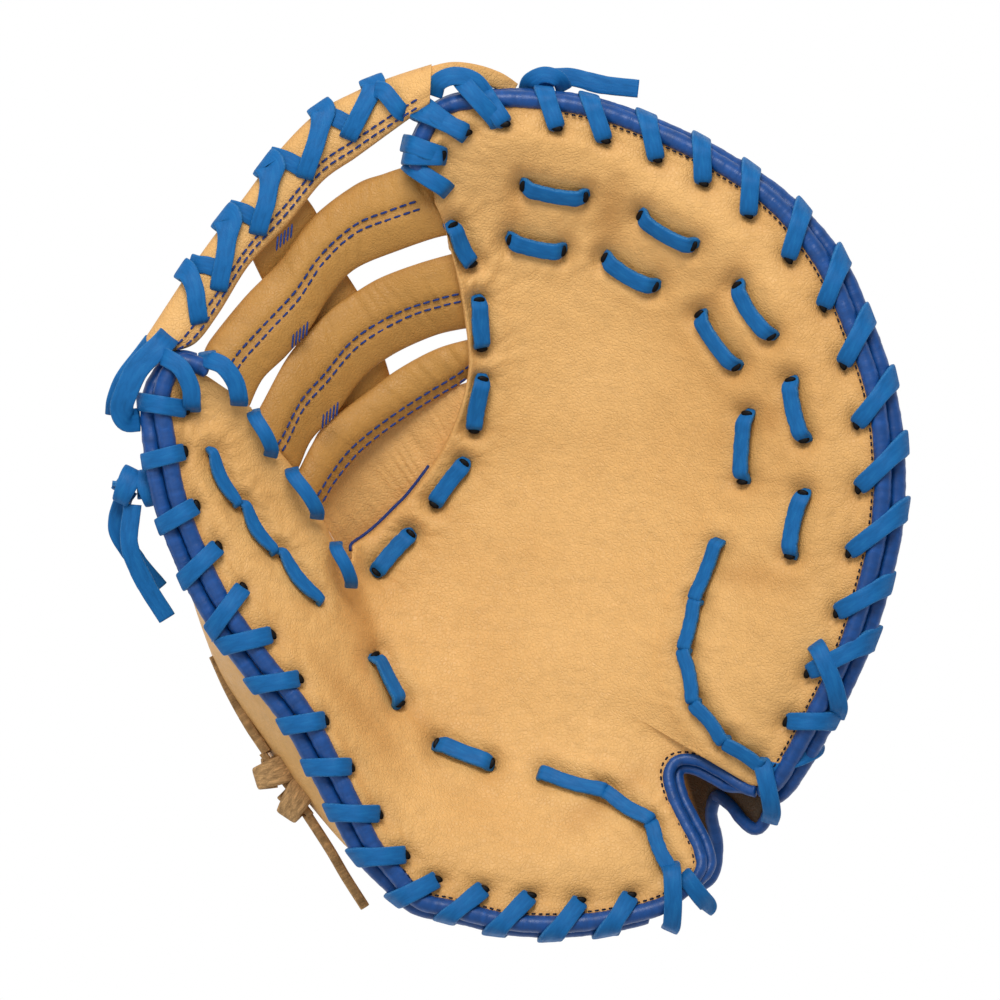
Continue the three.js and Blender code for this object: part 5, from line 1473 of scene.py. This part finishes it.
class MITT_OT_web(bpy.types.Operator):
    """Web bars, base and post with their seams"""

    bl_idname = "mitt.web"
    bl_label = "Web"

    def execute(self, context):
        # Finish, rows, dome, wall, wrinkle, seed, puff and the rows it runs on under the palm,
        # then its seam: share of the width, first and last place, and lift.
        # The web leather finish on bars two to four and the post is partly their own darker tone
        # and partly painted shade.
        bars = {
            "web_top_bar": ("tan_leather", TOP_BAR, 0.0002, 0.006, 0.00006, 41, 0.0014, 0.0,
                            (0.80, 0.4, 7.6, 0.0008)),
            "web_second_bar": ("web_leather_and_shade", SECOND_BAR, 0.0015, 0.003, 0.00036, 42, 0.0018, 0.25,
                               (0.52, 0.2, 6.8, 0.0016)),
            "web_third_bar": ("web_leather_and_shade", THIRD_BAR, 0.0015, 0.003, 0.00040, 43, 0.0018, 0.25,
                              (0.56, 0.4, 7.7, 0.0016)),
            "web_fourth_bar": ("web_leather_and_shade", FOURTH_BAR, 0.0012, 0.003, 0.00044, 44, 0.0014, 0.25,
                               (0.86, 0.4, 6.8, 0.0006)),
            "web_base": ("tan_leather", WEB_BASE, -0.0012, 0.003, 0.00060, 45, 0.0002, 0.0, None),
            "web_post": ("web_leather_and_shade", WEB_POST, 0, 0.003, 0.00012, 46, 0.0002, 0.0, None),
        }
        threads = Surface()
        for node, (finish, rows, dome, wall, wrinkle, seed, puff, tucked, seam) in bars.items():
            made = Surface()
            add_band(made, rows, dome, wall, seam[:1] if seam else (), wrinkle, seed, puff=puff,
                     ends=(0.0, tucked))
            if node == "web_top_bar":
                add_band(made, TOP_BAR_END, 0.0, 0.0022, (), 0.00006, 47, steps=40, wide=16,
                         puff=0.0004)
            add_object(f"{node}_leather", made, finish, [node])
            if seam:
                self.seam(threads, rows, dome, *seam)
        self.bartacks(threads)
        add_object("web_stitching", threads, "blue_thread")
        return {"FINISHED"}

    @staticmethod
    def seam(threads, rows, dome, at, start, end, lift):
        """Two rows of stitches along a bar, as far apart all the way."""
        u = np.linspace(start, end, 120)
        row = rows_at(rows, u)
        width = np.linalg.norm(place(*row[:, :3].T) - place(*row[:, 3:].T), axis=1)
        for side in (-SEAM_APART, SEAM_APART):
            path, normal = seam_path(rows, dome, u, at + side / width, lift)
            add_stitches(threads, path, normal, bpy.context.scene.mitt_sizes.stitch_length,
                         WEB_STITCH_GAP, WEB_STITCH_RADIUS)

    @staticmethod
    def bartacks(threads):
        """Groups of short cross stitches where the post is tacked to a bar."""
        along = unit(np.array([0.75, 0.66, 0.0]))
        lean = np.array([0.10, 1.0, 0.0]) * 0.0026
        for spot in ((-0.215, 0.262, 0.735), (-0.200, 0.165, 0.60), (-0.170, 0.085, 0.53)):
            for k in range(-2, 3):
                at = place(*spot) + along * k * TACK_APART
                path = np.stack([at - lean, at, at + lean])
                add_stitches(threads, path, upright(path), *TACK_STITCH)


def whip_turn(ground, hole, over, start, end, seed, back=True):
    """One turn of rim lace, straight in plan: up at its hole, over both bindings and down behind.
    Its rise and fall are found square to the rim, then leant along the rim in proportion. Its
    flat side swings from square to the lace, at the hole, to along the rim, where it folds over
    the outer roll, and widens as a slanted cut does."""
    rng = np.random.default_rng(seed)
    spot, goal = place(*hole, 0)[:2], place(*over, 0)[:2]
    lean = (goal - spot) / np.linalg.norm(goal - spot)
    spot = spot + lean * 0.0004
    at, up = ground.at(spot)
    at, up = at[0], unit(up[0] * 0.4 + Z_AXIS * 0.6)
    far = np.array(station_near(*over, start, end))
    near = np.array(station_near(*hole, start, end))
    middle = 0.5 * (near + far)
    size = bpy.context.scene.mitt_sizes
    lift = size.lace_thickness / 2 + 0.0001
    out = outward_at(middle)
    front, behind = rim_at(middle), back_rim_at(middle)
    ra, rb = float(binding_radius(middle)) + lift, size.binding_diameter / 2 + lift * 0.3

    def beside(centre, radius, degrees):
        """Outward distance and height of a place round a roll."""
        a = math.radians(degrees)
        away = (centre - front) @ out + math.cos(a) * radius
        return away, centre[2] + math.sin(a) * radius

    hole_out = (at - front) @ out
    sunk = at - up * LACE_ROOT
    section = [((sunk - front) @ out - 0.0002, sunk[2]), (hole_out, at[2] - 0.0010),
               (hole_out + 0.0006, at[2] + 0.0008)]
    section += [beside(front, ra, degrees) for degrees in FRONT_ANGLES]
    section.append(beside(front + (behind - front) * 0.3, ra + 0.0003, OVER_ANGLE))
    section += [beside(behind, rb, degrees) for degrees in BEHIND_ANGLES]
    if back:
        for w, off in BACK_STOPS:
            outer = back_outside(middle, np.array(w)) + out * off
            section.append(((outer - front) @ out, outer[2]))
    else:
        section.append(beside(behind, rb * 0.8, FREE_ANGLE))
    away, height = np.array(section).T
    tangent = unit(rim_at(np.minimum(middle + 0.1, LAST)) - rim_at(np.maximum(middle - 0.1, 0)))
    tangent = unit(tangent * (1, 1, 0))
    slope = (lean @ tangent[:2]) / max(lean @ out[:2], 0.35)
    base = (at - front) @ tangent
    along = base + (away - hole_out) * slope
    places = front * (1, 1, 0) + out * away[:, None] + tangent * along[:, None]
    places[:, 2] = height
    count = 46 if back else 36
    path = smooth_path(places, count)
    share = np.linspace(0, 1, count)
    side = unit(np.array([-lean[1], lean[0], 0.0]))
    path = path + side * (rng.uniform(-0.0005, 0.0005) * np.sin(np.pi * share))[:, None]
    reach = np.maximum.accumulate((path - front) @ out)
    turn = step_between(-0.001, reach.max() - 0.0004, reach)[:, None]
    sides = unit(side * (1 - turn) + tangent * np.sign(tangent @ side) * turn)
    return path, sides, 1 / np.maximum(sides @ side, RIM_SLANT)


class MITT_OT_rim_laces(bpy.types.Operator):
    """Whipped lace over the rims"""

    bl_idname = "mitt.rim_laces"
    bl_label = "Rim laces"

    def execute(self, context):
        size = context.scene.mitt_sizes
        ground = PalmMap()
        outline = strap_outline(size.lace_width, size.lace_thickness)
        groups = (("rim_lace_fingers", FINGER_TURNS, 0.0, 18.2, lambda u: 1.6 < u < 17.6),
                  ("rim_lace_thumb", THUMB_TURNS, 28.0, float(LAST), lambda u: 35.4 < u < 43.6))
        for g, (node, turns, start, end, backed) in enumerate(groups):
            made = Surface()
            for i, (hx, hy, ox, oy) in enumerate(turns):
                far = station_near(ox, oy, start, end)
                path, sides, stretch = whip_turn(ground, (hx, hy), (ox, oy), start, end,
                                                 100 * g + i, backed(far))
                wave = np.linspace(0, 5, len(path))
                share = 1 + 0.05 * lattice_noise(wave, np.full(len(path), i * 3.7), 60 + g)
                share[:4] *= (0.62, 0.72, 0.84, 0.95)
                add_sweep(made, path, sides, outline, widened(share * stretch))
            add_object(f"{node}_straps", made, "blue_lace", [node])
        return {"FINISHED"}


class MITT_OT_palm_laces(bpy.types.Operator):
    """Lace runs that lie on the palm"""

    bl_idname = "mitt.palm_laces"
    bl_label = "Palm laces"

    def execute(self, context):
        size = context.scene.mitt_sizes
        ground = PalmMap()
        outline = strap_outline(size.lace_width * 0.95, size.lace_thickness)
        for group, rows in PALM_RUNS.items():
            made = Surface()
            chain = group.endswith("chain")
            for sx, sy, ex, ey, bow in rows:
                longer = 0.02 + (0.0052 / math.hypot(ex - sx, ey - sy) if chain else 0)
                t = np.linspace(-longer, 1 + longer, 24)
                lean = np.array([ey - sy, sx - ex])
                lean = lean / np.linalg.norm(lean)
                bend = bow * np.sin(np.pi * np.clip(t, 0, 1))
                x, y = sx + (ex - sx) * t + lean[0] * bend, sy + (ey - sy) * t + lean[1] * bend
                at, up = ground.at(place(x, y, 0)[:, :2])
                up = calmed(up, 4)
                end = np.abs(np.linspace(-1, 1, 24))
                lift, dip, calm = CHAIN_RISE if chain else RUN_RISE
                rise = lift - dip * np.clip((end - calm) / (1 - calm), 0, 1) ** 2
                path = smooth_path(at + up * rise[:, None], 40)
                upward = columns_at(np.linspace(0, 1, 40), np.linspace(0, 1, 24), up)
                sides = unit(np.cross(np.gradient(path, axis=0), upward))
                along = np.abs(np.linspace(-1, 1, 40))
                share = 1 + 0.04 * lattice_noise(along * 6, np.full(40, sx * 90), 71)
                if group == "thumb_chain":
                    share *= CHAIN_SHARE * (1 - 0.62 * along ** 2.2)
                elif chain:
                    share *= CHAIN_SHARE
                else:
                    share *= 1 - 0.42 * np.clip((along - 0.62) / 0.38, 0, 1) ** 1.6
                add_sweep(made, path, sides, outline, widened(share))
            nodes = [f"{group}_{i + 1}" for i in range(len(rows))]
            add_object(f"{group}_straps", made, "blue_lace", nodes)
        return {"FINISHED"}


def strap_route(made, rows, width, thick):
    """A strap along table places (x, y, z), its flat side level across its run."""
    path = smooth_path(place(*np.array(rows).T), 60)
    add_sweep(made, path, calmed(flat_sides(path), 5), strap_outline(width, thick))


def cross_strap(made, outer, middle, inner, z, width, thick):
    """A strap over the top bar: up round its outer edge, across it and down at the inner end. Its
    flat side runs along the bar where it folds over the edge, widened as a slanted cut is, and
    square to its own run from there."""
    edge = rows_at(TOP_BAR, np.linspace(0, len(TOP_BAR) - 1, 400))[:, :2]
    i = int(np.argmin(np.linalg.norm(edge - outer, axis=1)))
    way = unit(edge[min(i + 4, 399)] - edge[max(i - 4, 0)])
    inward = np.array([way[1], -way[0]])
    stops = ((outer + inward * 0.022, -0.064), (outer + inward * 0.006, -0.058),
             (outer - inward * 0.001, -0.032), (outer - inward * 0.001, 0.002),
             (outer + inward * 0.006, 0.026), (middle, 0.037), ((middle + inner) / 2, 0.034),
             (inner, 0.014), (inner + (inner - middle) * 0.10, -0.030))
    rows = np.array([(*xy, z + rise) for xy, rise in stops])
    path = smooth_path(place(*rows.T), 70)
    run = unit(inner - outer)
    across = np.array([run[1], -run[0], 0.0])
    along = np.array([*way, 0.0]) * np.sign(across[:2] @ way)
    turn = step_between(0.34, 0.62, np.linspace(0, 1, 70))[:, None]
    sides = unit(along * (1 - turn) + across * turn)
    add_sweep(made, path, sides, strap_outline(width, thick),
              widened(1 / np.maximum(sides @ across, BAR_SLANT)))


class MITT_OT_web_lace(bpy.types.Operator):
    """Crossed lace along the web's top bar, and the loops that tie its ends"""

    bl_idname = "mitt.web_lace"
    bl_label = "Web lace"

    def execute(self, context):
        size = context.scene.mitt_sizes
        made = Surface()
        straps = (
            (-0.128, 0.418, -0.134, 0.395, -0.150, 0.364, 0.770),
            (-0.180, 0.392, -0.183, 0.357, -0.194, 0.325, 0.738),
            (-0.234, 0.336, -0.232, 0.300, -0.241, 0.269, 0.728),
            (-0.276, 0.283, -0.273, 0.250, -0.280, 0.213, 0.732),
            (-0.316, 0.230, -0.304, 0.210, -0.300, 0.180, 0.742),
        )
        for ax, ay, bx, by, dx, dy, z in straps:
            cross_strap(made, np.array([ax, ay]), np.array([bx, by]), np.array([dx, dy]), z,
                        size.lace_width * 1.02, size.lace_thickness)
        links = (
            (-0.174, 0.383, -0.140, 0.368, 0.742), (-0.229, 0.343, -0.196, 0.331, 0.726),
            (-0.270, 0.290, -0.243, 0.281, 0.722), (-0.309, 0.236, -0.279, 0.230, 0.728),
            (-0.124, 0.408, -0.098, 0.388, 0.822),
        )
        for ax, ay, dx, dy, z in links:
            rows = [(ax + 0.001, ay + 0.001, z - 0.016), (ax + 0.008, ay - 0.001, z + 0.012),
                    ((ax + dx) / 2 + 0.002, (ay + dy) / 2 + 0.001, z + 0.020),
                    (dx - 0.002, dy, z + 0.012), (dx + 0.004, dy - 0.003, z - 0.024)]
            strap_route(made, rows, size.lace_width * 0.98, size.lace_thickness)
        add_object("web_lace_straps", made, "blue_lace", ["web_lace"])
        loops = Surface()
        for rows, wide in corner_loops():
            strap_route(loops, rows, size.lace_width * wide, size.lace_thickness)
        add_object("corner_loops", loops, "blue_lace")
        return {"FINISHED"}


def corner_loops():
    """Short laces at the two web corners, the notch, the heel and the little-finger side."""
    return (
        ([(-0.066, 0.404, 0.82), (-0.061, 0.416, 0.862), (-0.045, 0.422, 0.872),
          (-0.026, 0.417, 0.865), (-0.014, 0.402, 0.840), (-0.012, 0.392, 0.79)], 1.0),
        ([(-0.040, 0.420, 0.80), (-0.036, 0.414, 0.868), (-0.020, 0.396, 0.880),
          (-0.004, 0.378, 0.845), (-0.001, 0.371, 0.80)], 1.0),
        ([(-0.082, 0.398, 0.76), (-0.074, 0.392, 0.828), (-0.056, 0.378, 0.845),
          (-0.038, 0.366, 0.82), (-0.032, 0.362, 0.77)], 1.0),
        ([(-0.096, 0.356, 0.73), (-0.088, 0.354, 0.812), (-0.072, 0.348, 0.825),
          (-0.060, 0.344, 0.80), (-0.054, 0.342, 0.75)], 1.0),
        ([(-0.092, 0.336, 0.72), (-0.085, 0.330, 0.785), (-0.070, 0.320, 0.800),
          (-0.057, 0.312, 0.785), (-0.052, 0.308, 0.74)], 1.0),
        ([(-0.328, 0.166, 0.73), (-0.336, 0.156, 0.80), (-0.360, 0.132, 0.81),
          (-0.372, 0.108, 0.80), (-0.377, 0.092, 0.78), (-0.372, 0.080, 0.755),
          (-0.360, 0.080, 0.73)], 1.30),
        ([(-0.346, 0.158, 0.72), (-0.356, 0.144, 0.78), (-0.374, 0.120, 0.785),
          (-0.382, 0.100, 0.76), (-0.384, 0.086, 0.71)], 1.1),
        ([(-0.336, 0.142, 0.72), (-0.333, 0.142, 0.820), (-0.318, 0.132, 0.838),
          (-0.308, 0.112, 0.826), (-0.307, 0.096, 0.80), (-0.307, 0.090, 0.74)], 1.0),
        ([(-0.292, 0.146, 0.72), (-0.290, 0.140, 0.805), (-0.276, 0.134, 0.825),
          (-0.264, 0.118, 0.815), (-0.260, 0.102, 0.79), (-0.260, 0.096, 0.74)], 1.0),
        ([(-0.246, 0.088, 0.66), (-0.244, 0.082, 0.725), (-0.234, 0.066, 0.735),
          (-0.228, 0.052, 0.70), (-0.229, 0.045, 0.64)], 0.80),
        ([(-0.208, 0.030, 0.60), (-0.206, 0.024, 0.665), (-0.192, 0.006, 0.67),
          (-0.183, -0.010, 0.635), (-0.183, -0.017, 0.57)], 0.80),
        ([(-0.164, -0.044, 0.52), (-0.163, -0.050, 0.590), (-0.154, -0.066, 0.59),
          (-0.149, -0.080, 0.55), (-0.149, -0.086, 0.49)], 0.74),
        ([(0.258, -0.256, 0.53), (0.262, -0.264, 0.595), (0.268, -0.290, 0.60),
          (0.272, -0.312, 0.55), (0.270, -0.322, 0.47)], 1.0),
        ([(0.258, -0.262, 0.52), (0.270, -0.264, 0.585), (0.296, -0.258, 0.615),
          (0.314, -0.250, 0.58), (0.316, -0.246, 0.50)], 1.0),
        ([(0.171, -0.364, 0.54), (0.172, -0.372, 0.61), (0.173, -0.400, 0.61),
          (0.172, -0.424, 0.56), (0.170, -0.430, 0.49)], 1.0),
        ([(0.180, -0.372, 0.50), (0.186, -0.378, 0.575), (0.200, -0.396, 0.56),
          (0.208, -0.406, 0.50), (0.206, -0.410, 0.44)], 1.0),
        ([(0.312, -0.142, 0.66), (0.318, -0.150, 0.755), (0.332, -0.182, 0.755),
          (0.338, -0.206, 0.70), (0.336, -0.216, 0.63)], 1.0),
        ([(0.026, 0.408, 0.70), (0.030, 0.418, 0.745), (0.044, 0.424, 0.760),
          (0.058, 0.420, 0.755), (0.064, 0.410, 0.71)], 0.9),
    )


class MITT_PT_panel(bpy.types.Panel):
    """Sidebar panel with every step in order"""

    bl_label = "First baseman mitt"
    bl_idname = "MITT_PT_panel"
    bl_space_type = "VIEW_3D"
    bl_region_type = "UI"
    bl_category = "Mitt"

    def draw(self, context):
        layout = self.layout
        for group in ("mitt_sizes", "mitt_colours", "mitt_stage"):
            box = layout.box()
            owner = getattr(context.scene, group)
            for key in owner.__annotations__:
                box.prop(owner, key)
        for operator in OPERATORS:
            layout.operator(operator.bl_idname)


GROUPS = (("mitt_sizes", MittSizes), ("mitt_colours", MittColours), ("mitt_stage", MittStage))
OPERATORS = (MITT_OT_stage, MITT_OT_tails, MITT_OT_palm, MITT_OT_backs, MITT_OT_bindings,
             MITT_OT_web, MITT_OT_rim_laces, MITT_OT_palm_laces, MITT_OT_web_lace)


def register():
    """Registers the settings, operators and panel."""
    for name, group in GROUPS:
        bpy.utils.register_class(group)
        setattr(bpy.types.Scene, name, bpy.props.PointerProperty(type=group))
    for operator in OPERATORS:
        bpy.utils.register_class(operator)
    bpy.utils.register_class(MITT_PT_panel)


def unregister():
    """Takes back what register added."""
    bpy.utils.unregister_class(MITT_PT_panel)
    for operator in reversed(OPERATORS):
        bpy.utils.unregister_class(operator)
    for name, group in reversed(GROUPS):
        delattr(bpy.types.Scene, name)
        bpy.utils.unregister_class(group)


def main():
    """Builds the scene."""
    register()
    for operator in OPERATORS:
        group, name = operator.bl_idname.split(".")
        getattr(getattr(bpy.ops, group), name)()


if __name__ == "__main__":
    main()
